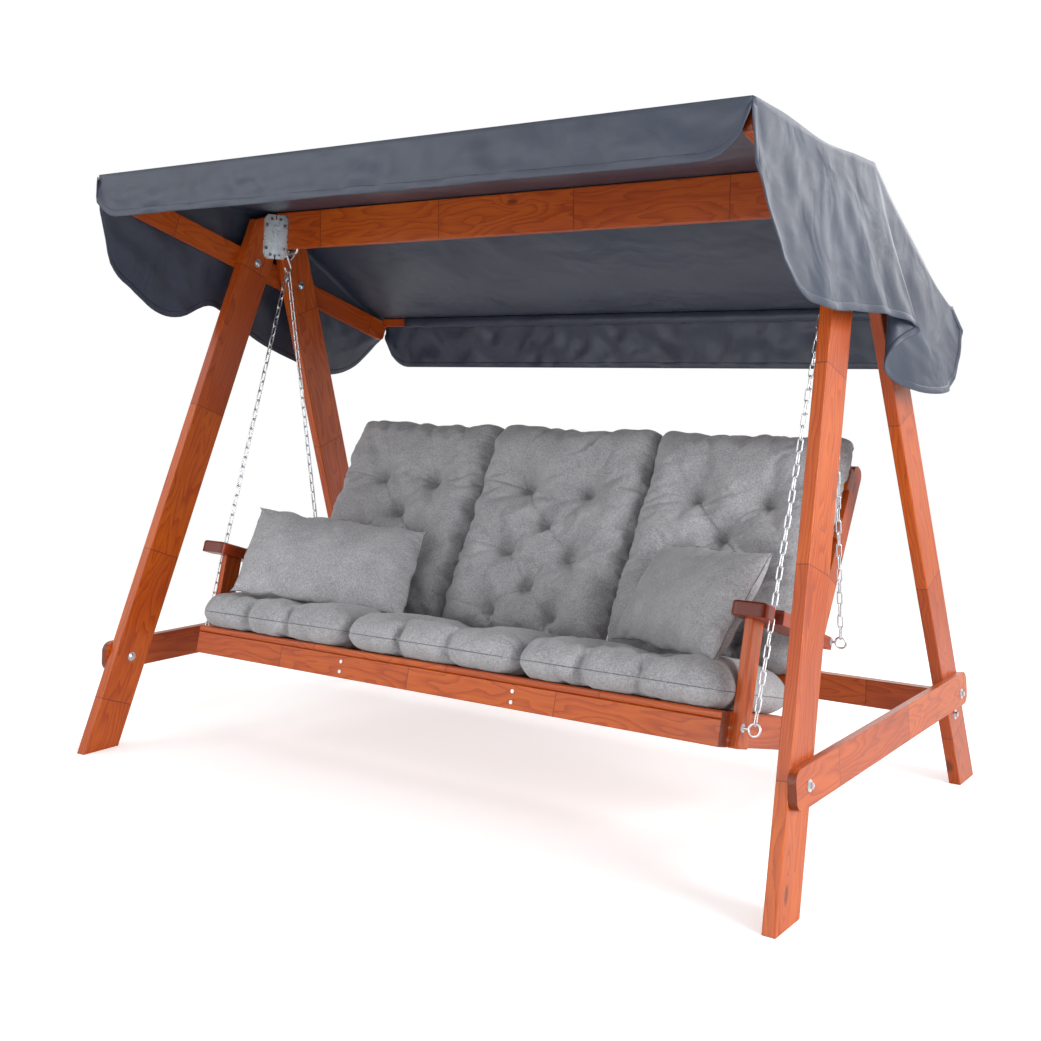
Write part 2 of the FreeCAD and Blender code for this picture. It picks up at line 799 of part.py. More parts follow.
def topOutline(shape, upright):
    # edges round the top face of a sloping board
    top = max(shape.Faces, key=lambda face: face.CenterOfMass.dot(upright))
    return [f"Edge{index}" for index, edge in enumerate(shape.Edges, start=1)
            if any(edge.isSame(other) for other in top.OuterWire.Edges)]


def isStileTop(edge):
    return edge.CenterOfMass.z > size.stileLong / 2


# The back: two stiles, a row of slats on their front faces and two battens behind the slats
def makeBack():
    for name, side in sides:
        body = newBody(f"{name}_back_stile", onBack)
        points = [(0, 0), (-cell.stileWide, -cell.stileWide * backSlope)]
        points += [(-cell.stileWide, cell.stileLong), (0, cell.stileLong)]
        start, thick = outwards(side, railInner, cell.benchHalf)
        plank = pad(body, outline(body, "YZ_Plane", points, start), thick)
        roundEdges(body, plank, edgesAlong(plank.Shape, alongX, isStileTop), cell.stileRound)
        drillAcross(body, start, thick, -cell.rearEyeInset, cell.rearEyeRise, eyeHole)
        doc.recompute()
    body = newBody("back_slats", onBack)
    corner = (-cell.benchHalf, -(cell.stileWide + cell.slatThick), cell.backSlatStart)
    first = block(body, corner, (2 * cell.benchHalf, cell.slatThick, cell.backSlatWide))
    repeat(body, first, "Z_Axis", cell.backSlatWide + cell.backSlatGap)
    roundEdges(body, body.Tip, edgesAlong(body.Tip.Shape, alongX), cell.edgeRound)
    body = newBody("back_battens", onBack)
    reach = (cell.slatCount - 1) * (cell.backSlatWide + cell.backSlatGap) + cell.backSlatWide
    for name, side in sides:
        corner = (side * cell.joistAt - cell.backBattenWide / 2, -cell.stileWide, cell.backSlatStart)
        block(body, corner, (cell.backBattenWide, cell.backBattenThick, reach))
    doc.recompute()


# Free forms are set first and then moved to their frame of reference
def freeForm(name, shape, settle):
    thing = doc.addObject("Part::Feature", name)
    thing.Shape = Part.makeCompound([shape])
    settle(thing)
    return register(thing, name)


def moved(shape, spot):
    copy = shape.copy()
    copy.translate(spot)
    return copy


def closedFace(edges):
    return Part.Face(Part.Wire(edges))


def lineTo(start, end):
    return Part.LineSegment(start, end).toShape()


def domeHead(wide, tall):
    # low domed head that stands on x = 0 and points to -X
    rim = vector(0, wide / 2, 0)
    tip = vector(-tall, 0, 0)
    shoulderShare = 0.75
    arc = Part.Arc(rim, vector(-tall * shoulderShare, wide / 4, 0), tip).toShape()
    return closedFace([lineTo(vector(), rim), arc, lineTo(tip, vector())]).revolve(vector(), alongX, 360)


def hexNut(wide, tall, axis):
    # a hexagonal prism that starts at the origin and runs along its axis
    radius = wide / math.sqrt(3)
    corners = [vector(radius * math.cos(math.pi * step / 3), radius * math.sin(math.pi * step / 3), 0)
               for step in range(7)]
    nut = Part.Face(Part.makePolygon(corners)).extrude(vector(0, 0, tall))
    nut.Placement = FreeCAD.Placement(vector(), FreeCAD.Rotation(alongZ, axis))
    return nut


def disc(wide, thick, start, axis):
    return Part.makeCylinder(wide / 2, thick, start, axis)


def boltShape(grip):
    # domed head and washer on the inner face at x = 0, washer and nut on the far side of the grip
    inner = disc(size.washerWide, size.washerThick, vector(-size.washerThick, 0, 0), alongX)
    outer = disc(size.washerWide, size.washerThick, vector(grip, 0, 0), alongX)
    nutEnd = grip + size.washerThick + size.nutTall
    rodStart = -size.washerThick - size.boltHeadTall / 2
    rod = disc(size.boltRod, nutEnd + size.boltRod / 4 - rodStart, vector(rodStart, 0, 0), alongX)
    head = moved(domeHead(size.boltHead, size.boltHeadTall), vector(-size.washerThick, 0, 0))
    nut = moved(hexNut(size.nutWide, size.nutTall, alongX), vector(grip + size.washerThick, 0, 0))
    return rod.fuse([inner, outer, head, nut]).removeSplitter()


def frameGroup(name, rightShapes):
    # pieces of both A-frames in one node, laid out in the right one and mirrored to the left
    turn = FreeCAD.Rotation(vector(0, -1, 0), size.leanAngle)
    home = FreeCAD.Placement(vector(size.footHalfWidth, 0, 0), turn)
    pieces = []
    for shape in rightShapes:
        copy = shape.copy()
        copy.Placement = home.multiply(copy.Placement)
        pieces += [copy, copy.mirror(vector(), alongX)]
    return freeForm(name, Part.makeCompound(pieces), onGround)


def makeFrameBolts():
    brace = boltShape(size.legThick + size.braceThick)
    frameGroup("brace_bolts", [moved(brace, vector(0, -braceBoltY.value, braceLevel.value))])
    rafter = boltShape(size.legThick + size.rafterThick)
    spots = [vector(0, across.value, up.value) for across, up in rafterBolts]
    frameGroup("rafter_bolts", [moved(rafter, spot) for spot in spots])
    low = moved(lagScrew(size.legThick), vector(0, crossbarBoltY.value, lowBoltLevel.value))
    high = moved(lagScrew(size.legThick + size.braceThick), vector(0, crossbarBoltY.value, highBoltLevel.value))
    frameGroup("crossbar_bolts", [low, high])


def lagScrew(outerFace):
    # hexagonal head and washer on the outer face, and a shank into the end of the crossbar
    seat = outerFace + size.washerThick
    rod = disc(size.boltRod, seat + size.crossbarBoltReach, vector(seat, 0, 0), alongX * -1)
    washer = disc(size.washerWide, size.washerThick, vector(seat, 0, 0), alongX * -1)
    head = moved(hexNut(size.nutWide, size.nutTall, alongX), vector(seat, 0, 0))
    return rod.fuse([washer, head]).removeSplitter()


def screw(start, axis):
    # countersunk look: a low round head on the face and its shank in the wood
    head = disc(size.screwHead, size.screwHeadTall, start, axis)
    shank = disc(size.screwShank, size.screwLength, start, axis * -1)
    return head.fuse(shank).removeSplitter()


# Bent steel corner brackets tie the leg tops to the beam
bracketSlotShare = 0.22


def makeBrackets():
    wing = size.bracketWing
    plate = size.bracketPlate
    face = size.beamThick / 2
    bore = size.bracketHole
    brackets = []
    screws = []
    for end in (-1, 1):
        tall = size.frontBracketTall if end < 0 else size.rearBracketTall
        base = legTop.value - tall - (size.frontBracketDrop if end < 0 else size.rearBracketDrop)
        legWing = Part.makeBox(plate, wing, tall, vector(-plate, face if end > 0 else -face - wing, base))
        beamWing = Part.makeBox(wing, plate, tall, vector(-wing, face if end > 0 else -face - plate, base))
        bracket = legWing.fuse(beamWing).removeSplitter()
        tips = [edge for edge in bracket.Edges if isBracketTip(edge, wing, face)]
        bracket = bracket.makeChamfer(size.bracketChamfer, tips)
        slot = Part.makeBox(3 * plate, 3 * plate, bracketSlotShare * tall, vector(-2 * plate, -2 * plate, 0))
        for slotZ in (base - bracketSlotShare * tall / 2, base + tall - bracketSlotShare * tall / 2):
            bracket = bracket.cut(moved(slot, vector(0, end * face, slotZ)))
        for along, up in bracketHoles(end):
            onLeg = vector(-plate, end * (face + along.value), up.value)
            onBeam = vector(-along.value, end * (face + plate), up.value)
            bracket = bracket.cut([disc(bore, 3 * plate, onLeg - alongX * plate, alongX)])
            bracket = bracket.cut([disc(bore, 3 * plate, onBeam + alongY * end * plate, alongY * -end)])
            screws.append(screw(onLeg, alongX * -1))
            if overBeam(up):
                screws.append(screw(onBeam, alongY * end))
        brackets.append(bracket)
    frameGroup("beam_brackets", brackets)
    frameGroup("bracket_screws", screws)


def isBracketTip(edge, wing, face):
    # short edges at the free corners of both wings
    middle = edge.CenterOfMass
    short = edge.Length < size.bracketPlate * 1.5
    farLeg = abs(abs(middle.y) - face - wing) < size.seatGap
    farBeam = abs(middle.x + wing) < size.seatGap
    return short and (farLeg or farBeam)


# Round wire bent along a route of lines and arcs
def wirePipe(edges, wide):
    route = Part.Wire(edges)
    first = edges[0]
    start = first.valueAt(first.FirstParameter)
    direction = first.tangentAt(first.FirstParameter)
    profile = Part.Wire([Part.makeCircle(wide / 2, start, direction)])
    return route.makePipeShell([profile], True, True)


def arcPoints(centre, radius, startAngle, endAngle, flat):
    # start, middle and end of an arc, with angles in degrees in a plane given by the flat function
    angles = [math.radians(startAngle + share * (endAngle - startAngle)) for share in (0, 0.5, 1)]
    return [flat(centre[0] + radius * math.cos(angle), centre[1] + radius * math.sin(angle)) for angle in angles]


def arcEdge(points):
    return Part.Arc(*points).toShape()


def inFrontPlane(across, up):
    return vector(across, 0, up)


def inSidePlane(across, up):
    return vector(0, across, up)


def hangerShape():
    # U-shaped rod through the beam with a straight run that carries the hook
    half = size.hangerHalf
    bend = size.hangerBend
    top = size.beamTop - size.hangerSink + size.nutTall + size.hangerRod / 4
    level = hangerZ.value
    leftArc = arcPoints((bend - half, level + bend), bend, 180, 270, inFrontPlane)
    rightArc = arcPoints((half - bend, level + bend), bend, 270, 360, inFrontPlane)
    edges = [lineTo(inFrontPlane(-half, top), leftArc[0]), arcEdge(leftArc), lineTo(leftArc[-1], rightArc[0])]
    edges += [arcEdge(rightArc), lineTo(rightArc[-1], inFrontPlane(half, top))]
    return wirePipe(edges, size.hangerRod)


def makeHangers():
    rod = hangerShape()
    nut = hexNut(size.nutWide, size.nutTall, alongZ)
    bore = disc(size.hangerRod + size.holeGap, size.nutTall, vector(), alongZ)
    nut = nut.cut(bore)
    floor = size.beamTop - size.hangerSink
    nuts = []
    for name, side in sides:
        freeForm(f"{name}_hanger", moved(rod, vector(side * size.chainPlane, 0, 0)), onGround)
        for end in (-1, 1):
            nuts.append(moved(nut, vector(side * size.chainPlane + end * size.hangerHalf, 0, floor)))
    freeForm("hanger_nuts", Part.makeCompound(nuts), onGround)


# The S hook turns on the hanger rod, and its lower bend holds the first links of two chains
upperBend = (size.hangerRod + size.hookWire) / 2 + size.seatGap


def hookShape():
    drop = size.hookReach
    lower = size.hookLowerRadius
    lean = math.degrees(math.asin((upperBend + lower) / drop))
    shoulder = 90
    upperEnd = 180 + lean
    topArcs = [arcPoints((0, 0), upperBend, -size.hookOpenAngle, shoulder, inSidePlane),
               arcPoints((0, 0), upperBend, shoulder, upperEnd, inSidePlane)]
    lowArcs = [arcPoints((0, -drop), lower, lean, -shoulder, inSidePlane),
               arcPoints((0, -drop), lower, -shoulder, -upperEnd + lean, inSidePlane)]
    edges = [arcEdge(points) for points in topArcs]
    edges.append(lineTo(topArcs[1][-1], lowArcs[0][0]))
    edges += [arcEdge(points) for points in lowArcs]
    return moved(wirePipe(edges, size.hookWire), vector(0, 0, hangerZ.value))


def makeHooks():
    hook = hookShape()
    for name, side in sides:
        freeForm(f"{name}_s_hook", moved(hook, vector(side * size.chainPlane, 0, 0)), onGround)


# Chains of welded links: each link is turned a quarter from the last, and clears it all round
endSteps = 3


def linkOutline(inner):
    # corner places of the wire's centre line, along and across the link
    radius = (size.chainWide - size.chainWire) / 2
    reach = (inner + size.chainWire) / 2 - radius
    places = []
    for sign in (1, -1):
        for step in range(endSteps + 1):
            angle = math.pi * step / endSteps - math.pi / 2
            # inner corners stand out, so that the flat end is as far out as the round one
            out = radius if step in (0, endSteps) else radius / math.cos(math.pi / (2 * endSteps))
            places.append((sign * (reach + out * math.cos(angle)), sign * out * math.sin(angle)))
    return places


def facetedLoop(places, wide):
    # closed wire of diamond section through the places, with mitred corners
    count = len(places)
    half = wide / 2
    rings = []
    for index, (along, across) in enumerate(places):
        before = places[index - 1]
        after = places[(index + 1) % count]
        first = vector(along - before[0], across - before[1], 0).normalize()
        second = vector(after[0] - along, after[1] - across, 0).normalize()
        out = vector(first.y + second.y, -first.x - second.x, 0).normalize()
        out = out * (half / out.dot(vector(second.y, -second.x, 0)))
        middle = vector(along, across, 0)
        rings.append([middle + out, middle + alongZ * half, middle - out, middle - alongZ * half])
    faces = []
    for index in range(count):
        ring = rings[index]
        other = rings[(index + 1) % count]
        for corner in range(4):
            near = (corner + 1) % 4
            loop = [ring[corner], ring[near], other[near], other[corner], ring[corner]]
            faces.append(Part.Face(Part.makePolygon(loop)))
    solid = Part.Solid(Part.Shell(faces))
    if solid.Volume < 0:
        solid.reverse()
    return solid


def chainShape(start, end, firstReach, lastReach):
    # a straight chain in a plane of constant X, from a hook wire to an eye ring
    direction = (end - start).normalize()
    length = (end - start).Length - lastReach - firstReach
    room = length - size.chainWire - size.seatGap
    count = 2 * round(room / (2 * (size.chainPitch - size.seatGap)))
    inner = (length - size.chainWire + (count - 1) * size.seatGap) / count
    link = facetedLoop(linkOutline(inner), size.chainWire)
    acrossFlat = alongX
    acrossEdge = direction.cross(alongX)
    links = []
    for index in range(count):
        middle = start + direction * (firstReach + index * (inner - size.seatGap) + (inner + size.chainWire) / 2)
        across = acrossFlat if index % 2 == 0 else acrossEdge
        turn = FreeCAD.Rotation(direction, across, direction.cross(across), "XYZ")
        copy = link.copy()
        copy.Placement = FreeCAD.Placement(middle, turn)
        links.append(copy)
    print("chain of", count, "links, inside length", round(inner, 3))
    return Part.makeCompound(links)


def worldFromBench(along, up):
    tilt = math.radians(size.benchTilt)
    worldY = size.benchFrontY + along * math.cos(tilt) + up * math.sin(tilt)
    return vector(0, worldY, size.benchFrontZ - along * math.sin(tilt) + up * math.cos(tilt))


hookCentre = vector(0, 0, hookZ.value)
eyeSpots = {
    "front": worldFromBench(frontEyeU.value, size.frontEyeRise),
    "rear": worldFromBench(rearEyeU.value, rearEyeW.value),
}


def hookTouch(name):
    # where the first link of a chain sits inside the lower bend, beside the other chain's link
    inside = size.hookLowerRadius - (size.hookWire + size.chainWire) / 2 - size.seatGap
    pulls = {key: (spot - hookCentre).normalize() for key, spot in eyeSpots.items()}
    angles = {key: math.atan2(pull.y, -pull.z) for key, pull in pulls.items()}
    needed = (size.chainWire + 2 * size.seatGap) / inside
    extra = max(0, needed - (angles["rear"] - angles["front"])) / 2
    angle = angles[name] + (extra if name == "rear" else -extra)
    return hookCentre + vector(0, math.sin(angle), -math.cos(angle)) * inside


def chainRun(name):
    start = hookTouch(name)
    return start, eyeSpots[name]


def makeChains():
    lastReach = size.eyeRadius - (size.eyeWire + size.chainWire) / 2 - size.seatGap
    for name in ("front", "rear"):
        start, end = chainRun(name)
        chain = chainShape(start, end, 0, lastReach)
        for sideName, side in sides:
            place = moved(chain, vector(side * size.chainPlane, 0, 0))
            freeForm(f"{sideName}_{name}_chain", place, onGround)


# Eye bolts: a bent ring in line with its chain, and a shank through the wood with washers and nut
def eyeBoltShape(name, innerFace):
    # modelled for the right side, with the ring's middle on the chain
    start, end = chainRun(name)
    direction = (end - start).normalize()
    normal = direction.cross(alongX)
    ring = Part.makeTorus(size.eyeRadius, size.eyeWire / 2, end, normal)
    shankStart = end - alongX * size.eyeRadius
    reach = size.chainPlane - size.eyeRadius - innerFace
    reach += size.washerThick + size.nutTall + size.eyeShank / 4
    shank = disc(size.eyeShank, reach, shankStart, alongX * -1)
    bolt = ring.fuse(shank)
    return moved(bolt, alongX * size.chainPlane)


smallWasherShare = 0.75


def eyeHardware(name, outerFace, innerFace):
    spot = eyeSpots[name]
    shank = disc(size.eyeShank + size.holeGap, size.chainPlane, spot, alongX)
    washer = disc(size.washerWide * smallWasherShare, size.washerThick, vector(0, spot.y, spot.z), alongX)
    outer = moved(washer, alongX * outerFace)
    inner = moved(washer, alongX * (innerFace - size.washerThick))
    nut = moved(hexNut(size.nutWide, size.nutTall, alongX), vector(0, spot.y, spot.z))
    nut = moved(nut, alongX * (innerFace - size.washerThick - size.nutTall))
    return [piece.cut(shank) for piece in (outer, inner, nut)]


def mirrored(shapes):
    return shapes + [shape.mirror(vector(), alongX) for shape in shapes]


def makeEyeBolts():
    faces = {"front": (postOuter.value, railInner.value),
             "rear": (size.benchHalf + size.armRearWide, railInner.value)}
    fittings = []
    for name, (outerFace, innerFace) in faces.items():
        bolt = eyeBoltShape(name, innerFace)
        freeForm(f"{name}_eye_bolts", Part.makeCompound(mirrored([bolt])), onGround)
        fittings += mirrored(eyeHardware(name, outerFace, innerFace))
    freeForm("eye_bolt_nuts", Part.makeCompound(fittings), onGround)


# Screws that show on the bench: two at each joist on the apron, two behind it on each side rail
def makeBenchScrews():
    screws = []
    for name, side in sides:
        for share in screwHeightShares:
            up = share * size.apronTall
            screws.append(screw(vector(side * size.joistAt, 0, up), alongY * -1))
            screws.append(screw(vector(side * size.benchHalf, railScrewU.value, up), alongX * side))
    freeForm("bench_screws", Part.makeCompound(screws), onBench)


# Seat cushion: flat underside, full front roll, crown, drawn-in ends and two pinched lines
seatWidthShares = (0, 0.05, 0.17, 1 / 3, 0.5, 2 / 3, 0.83, 0.95, 1)
seatFullShares = (0, 0.62, 0.95, 0.84, 1, 0.84, 0.95, 0.62, 0)


seatRimShare = 0.7
backRimShare = 0.8
endLiftShare = 0.3


def cushionSection(across, front, rear, low, high, rimShare):
    # closed outline in a plane of constant X: flat below, rounded front and rear, crowned top
    rim = low + (high - low) * rimShare
    depth = rear - front
    crown = (high - rim) / 2
    roll = (high - low - crown) / 2
    frontLow = vector(across, front + roll, low)
    frontHigh = vector(across, front + roll, high - crown)
    rearLow = vector(across, rear - roll, low)
    rearHigh = vector(across, rear - roll, high - crown)
    frontTip = vector(across, front, (low + high - crown) / 2)
    rearTip = vector(across, rear, (low + high - crown) / 2)
    topMiddle = vector(across, front + depth / 2, high)
    edges = [lineTo(frontLow, rearLow), arcEdge((rearLow, rearTip, rearHigh))]
    edges += [arcEdge((rearHigh, topMiddle, frontHigh)), arcEdge((frontHigh, frontTip, frontLow))]
    return Part.Wire(edges)


def seatCushion(middle):
    wide = size.cushionWide
    low = seatTop.value + size.seatGap
    sections = []
    for widthShare, fullShare in zip(seatWidthShares, seatFullShares):
        across = middle + (widthShare - 0.5) * wide
        drawn = size.seatPadDraw * (1 - fullShare)
        tall = size.seatPadRim + (size.seatPadThick - size.seatPadRim) * fullShare
        lift = (size.seatPadThick - tall) * endLiftShare if fullShare == 0 else 0
        front = drawn - size.seatPadOverhang
        rear = size.seatPadLong - size.seatPadOverhang - drawn
        sections.append(cushionSection(across, front, rear, low + lift, low + lift + tall, seatRimShare))
    return Part.makeLoft(sections, True, True)


# Back cushion: the same build, stood on the back slats, with eight sewn tufts
backWidthShares = (0, 0.05, 0.18, 0.5, 0.82, 0.95, 1)
backFullShares = (0, 0.6, 0.94, 1, 0.94, 0.6, 0)
tuftShares = ((-0.184, 0.08), (0.184, 0.08), (0, 0.213), (-0.184, 0.37), (0.184, 0.37),
              (0, 0.507), (-0.184, 0.675), (0.184, 0.675))


def backCushion(middle):
    # laid out with its thickness along -Y of the back frame and its height along Z
    wide = size.cushionWide
    base = -(size.stileWide + size.slatThick + size.seatGap)
    sections = []
    for widthShare, fullShare in zip(backWidthShares, backFullShares):
        across = middle + (widthShare - 0.5) * wide
        drawn = size.backPadDraw * (1 - fullShare)
        tall = size.backPadRim + (size.backPadThick - size.backPadRim) * fullShare
        low = size.backPadStart + drawn
        high = size.backPadStart + size.backPadLong - drawn
        flat = cushionSection(across, low, high, 0, tall, backRimShare)
        sections.append(flat)
    pad = Part.makeLoft(sections, True, True)
    # stand the pad up: its length goes to Z and its thickness to -Y
    pad.rotate(vector(), alongX, 90)
    pad.translate(vector(0, base, 0))
    for acrossShare, upShare in tuftShares:
        spot = vector(middle + acrossShare * wide, base - size.backPadThick, size.backPadStart)
        spot.z += upShare * size.backPadLong
        point = Part.makeCone(size.tuftRadius, size.tuftRadius / 8, size.tuftDepth, spot, alongY)
        pad = pad.cut(point)
    return pad


def makeCushions():
    pitch = size.cushionWide + size.cushionGap
    for name, step in (("left", -1), ("middle", 0), ("right", 1)):
        freeForm(f"{name}_seat_cushion", seatCushion(step * pitch), onBench)
    for name, step in (("left", -1), ("middle", 0), ("right", 1)):
        freeForm(f"{name}_back_cushion", backCushion(step * pitch), onBack)


# Pillow: a stuffed slip with thin corners, fullest in the middle
pillowWidthShares = (-0.5, -0.44, -0.3, -0.12, 0.12, 0.3, 0.44, 0.5)
pillowFullShares = (0, 0.38, 0.8, 1, 1, 0.8, 0.38, 0)
pillowTallShares = (1, 0.97, 0.93, 0.91, 0.91, 0.93, 0.97, 1)


def pillowShape():
    sections = []
    for widthShare, fullShare, tallShare in zip(pillowWidthShares, pillowFullShares, pillowTallShares):
        across = widthShare * size.pillowWide
        half = tallShare * size.pillowTall / 2
        rim = size.pillowRim / 2
        full = rim + size.pillowRim / 8 + (size.pillowThick / 2 - rim) * fullShare
        corners = [vector(across, sign * half, up * rim) for sign, up in ((-1, -1), (-1, 1), (1, 1), (1, -1))]
        edges = [lineTo(corners[0], corners[1])]
        edges.append(arcEdge((corners[1], vector(across, 0, full), corners[2])))
        edges.append(lineTo(corners[2], corners[3]))
        edges.append(arcEdge((corners[3], vector(across, 0, -full), corners[0])))
        sections.append(Part.Wire(edges))
    return Part.makeLoft(sections, True, True)


def makePillows():
    shape = pillowShape()
    for name, side in sides:
        spot = vector(*(getattr(size, f"{name}Pillow{letter}") for letter in "XYZ"))
        turn = FreeCAD.Rotation(alongZ, getattr(size, f"{name}PillowTurn"))
        lean = FreeCAD.Rotation(alongX, getattr(size, f"{name}PillowLean"))
        roll = FreeCAD.Rotation(alongZ, getattr(size, f"{name}PillowRoll"))
        copy = shape.copy()
        copy.Placement = FreeCAD.Placement(spot, turn.multiply(lean).multiply(roll))
        freeForm(f"{name}_pillow", copy, onGround)


# Canopy cloth: the top lies over both rails and the beam and sags between them
def clothProfile(lift):
    # edges of the cloth's underside from front to rear, raised by lift
    gap = size.seatGap
    frontZ = frontRailTop.value + gap + lift
    beamZ = size.beamTop + gap + lift
    rearZ = rearRailTop.value + gap + lift
    front = -(size.frontRailFace + gap + size.clothThick)
    frontInner = size.railDeep - size.frontRailFace
    half = size.beamThick / 2
    rearInner = size.rearRailFace - size.railDeep
    rear = size.rearRailFace + gap + size.clothThick
    spots = [(front, frontZ), (frontInner, frontZ), (-half, beamZ), (half, beamZ), (rearInner, rearZ), (rear, rearZ)]
    points = [vector(0, across, up) for across, up in spots]
    sags = (0, size.frontSag, 0, size.rearSag, 0)
    edges = []
    for start, end, sag in zip(points, points[1:], sags):
        if sag:
            edges.append(arcEdge((start, (start + end) / 2 - alongZ * sag, end)))
        else:
            edges.append(lineTo(start, end))
    return points, edges


def makeCanopyTop():
    # two panels that meet in a seam over the middle of the beam
    low, lowEdges = clothProfile(0)
    high, highEdges = clothProfile(size.clothThick)
    ends = [lineTo(low[-1], high[-1]), lineTo(high[0], low[0])]
    half = size.footHalfWidth
    face = closedFace(Part.__sortEdges__(lowEdges + ends + highEdges))
    sheet = moved(face, vector(-half, 0, 0)).extrude(alongX * 2 * half)
    # both side edges follow the leaning rafters
    offset = rafterOuter.value / leanCosine.value + size.clothSideGap + size.clothThick
    base = size.footHalfWidth + offset
    top = base - 2 * size.beamTop * leanSlope.value
    deep = size.footHalfDepth
    corners = [vector(-base, -deep, 0), vector(base, -deep, 0)]
    corners += [vector(top, -deep, 2 * size.beamTop), vector(-top, -deep, 2 * size.beamTop)]
    outside = Part.Face(Part.makePolygon(corners + corners[:1]))
    freeForm("canopy_front_panel", sheet.common(outside.extrude(alongY * deep)), onGround)
    rear = moved(outside, alongY * deep).extrude(alongY * deep)
    freeForm("canopy_rear_panel", sheet.common(rear), onGround)


def valance(name, face, top, drop, flare, end):
    # a hanging strip with rounded lower corners that stands out a little at its hem
    offset = rafterOuter.value / leanCosine.value + size.clothSideGap
    half = size.footHalfWidth + offset - top * leanSlope.value
    low = top - drop
    corner = size.valanceCorner
    cornerShare = 1 - math.sqrt(0.5)
    right = [vector(half, 0, top), vector(half, 0, low + corner)]
    bend = vector(half - cornerShare * corner, 0, low + cornerShare * corner)
    right.append(vector(half - corner, 0, low))
    left = [vector(-spot.x, spot.y, spot.z) for spot in right]
    leftBend = vector(-bend.x, bend.y, bend.z)
    edges = [lineTo(left[0], right[0]), lineTo(right[0], right[1]), arcEdge((right[1], bend, right[2]))]
    edges += [lineTo(right[2], left[2]), arcEdge((left[2], leftBend, left[1])), lineTo(left[1], left[0])]
    strip = closedFace(edges).extrude(alongY * end * size.clothThick)
    tilt = math.degrees(math.atan2(flare, drop))
    strip.translate(vector(0, end * face, 0))
    strip.rotate(vector(0, end * face, top), alongX, end * tilt)
    freeForm(name, strip, onGround)


# Side flaps hang from the side edges of the top, with a wavy hem that swings outwards
leftFlapShares = (
    (0, 0.36, 0.3), (0.07, 0.62, 0.75), (0.13, 0.86, 0.5), (0.22, 0.99, 0.9), (0.3, 1, 0.55),
    (0.37, 0.88, 0.95), (0.42, 0.89, 0.7), (0.52, 1.04, 1), (0.62, 1.1, 0.7), (0.7, 1.12, 1.05),
    (0.8, 1.1, 0.75), (0.9, 0.94, 1), (1, 0.33, 0.6),
)
rightFlapShares = (
    (0, 0.5, 0.3), (0.05, 0.88, 0.7), (0.1, 1.02, 0.45), (0.2, 1.06, 0.85), (0.3, 1.05, 0.6),
    (0.4, 1.03, 0.95), (0.5, 1.02, 0.75), (0.57, 1.05, 1.1), (0.62, 1.22, 0.6), (0.72, 1.22, 1),
    (0.8, 1.1, 0.7), (0.9, 0.86, 0.95), (1, 0.33, 0.6),
)


def clothUnder(across):
    # height of the cloth's underside above a place between the rails
    points, edges = clothProfile(0)
    for edge in edges:
        first, last = edge.Vertexes[0].Point, edge.Vertexes[-1].Point
        low, high = sorted((first.y, last.y))
        if low <= across <= high:
            upright = lineTo(vector(0, across, 0), vector(0, across, 2 * size.beamTop))
            return edge.distToShape(upright)[1][0][0].z
    raise RuntimeError("the place is not under the cloth")


def withRailCorner(shares, cornerShare):
    # one more section where the cloth bends over the rear rail
    before, last = shares[-2:]
    part = (cornerShare - before[0]) / (last[0] - before[0])
    corner = tuple(first + part * (second - first) for first, second in zip(before, last))
    return shares[:-1] + (corner, last)


def flap(name, side, shares):
    front = -size.frontRailFace
    depth = size.frontRailFace + size.rearRailFace
    shares = withRailCorner(shares, 1 - size.railDeep / depth)
    offset = size.footHalfWidth + rafterOuter.value / leanCosine.value + size.clothSideGap
    sections = []
    for depthShare, dropShare, outShare in shares:
        across = front + depthShare * depth
        top = clothUnder(across) - 3 * size.seatGap
        hem = top - dropShare * size.flapDrop
        topX = offset - top * leanSlope.value
        hemX = offset - hem * leanSlope.value + outShare * size.flapFlare
        thick = size.clothThick
        corners = [vector(side * topX, across, top), vector(side * (topX + thick), across, top)]
        corners += [vector(side * (hemX + thick), across, hem), vector(side * hemX, across, hem)]
        sections.append(Part.makePolygon(corners + corners[:1]))
    freeForm(name, Part.makeLoft(sections, True, True), onGround)


def makeCanopy():
    makeCanopyTop()
    frontFace = size.frontRailFace + size.seatGap
    rearFace = size.rearRailFace + size.seatGap
    frontTop = frontRailTop.value
    rearTop = rearRailTop.value
    valance("front_valance", frontFace, frontTop, size.valanceDrop, size.valanceFlare, -1)
    valance("rear_valance", rearFace, rearTop, size.rearValanceDrop, size.rearValanceFlare, 1)
    flap("left_canopy_flap", -1, leftFlapShares)
    flap("right_canopy_flap", 1, rightFlapShares)


for name, side in sides:
    makeLeg(f"{name}_front_leg", side, -1)
    makeLeg(f"{name}_back_leg", side, 1)
    makeBrace(f"{name}_side_brace", side)
    makeRafter(f"{name}_rafter", side)
    makePost(f"{name}_arm_post", side)
    makeArmrest(f"{name}_armrest", side)
makeBeam()
makeCrossbar()
makeRails()
makeFrameBolts()
makeBrackets()
makeHangers()
makeHooks()
makeChains()
makeEyeBolts()
makeBenchBase()
makeSeatSlats()
makeBack()
makeBenchScrews()
makeCushions()
makePillows()
makeCanopy()

doc.recompute()
for thing in doc.Objects:
    if "Invalid" in thing.State or "Error" in thing.State:
        raise RuntimeError(f"{thing.Label} failed: {thing.State}")
for part in subParts:
    if part.Shape.isNull() or not part.Shape.isValid():
        raise RuntimeError(f"{part.Label} has no valid shape")
for part in subParts:
    part.Shape.exportStep(f"parts/{part.Label}.step")
print(len(subParts), "sub-parts written")
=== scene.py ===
import math
import bpy
import numpy as np
from mathutils import Matrix, Vector


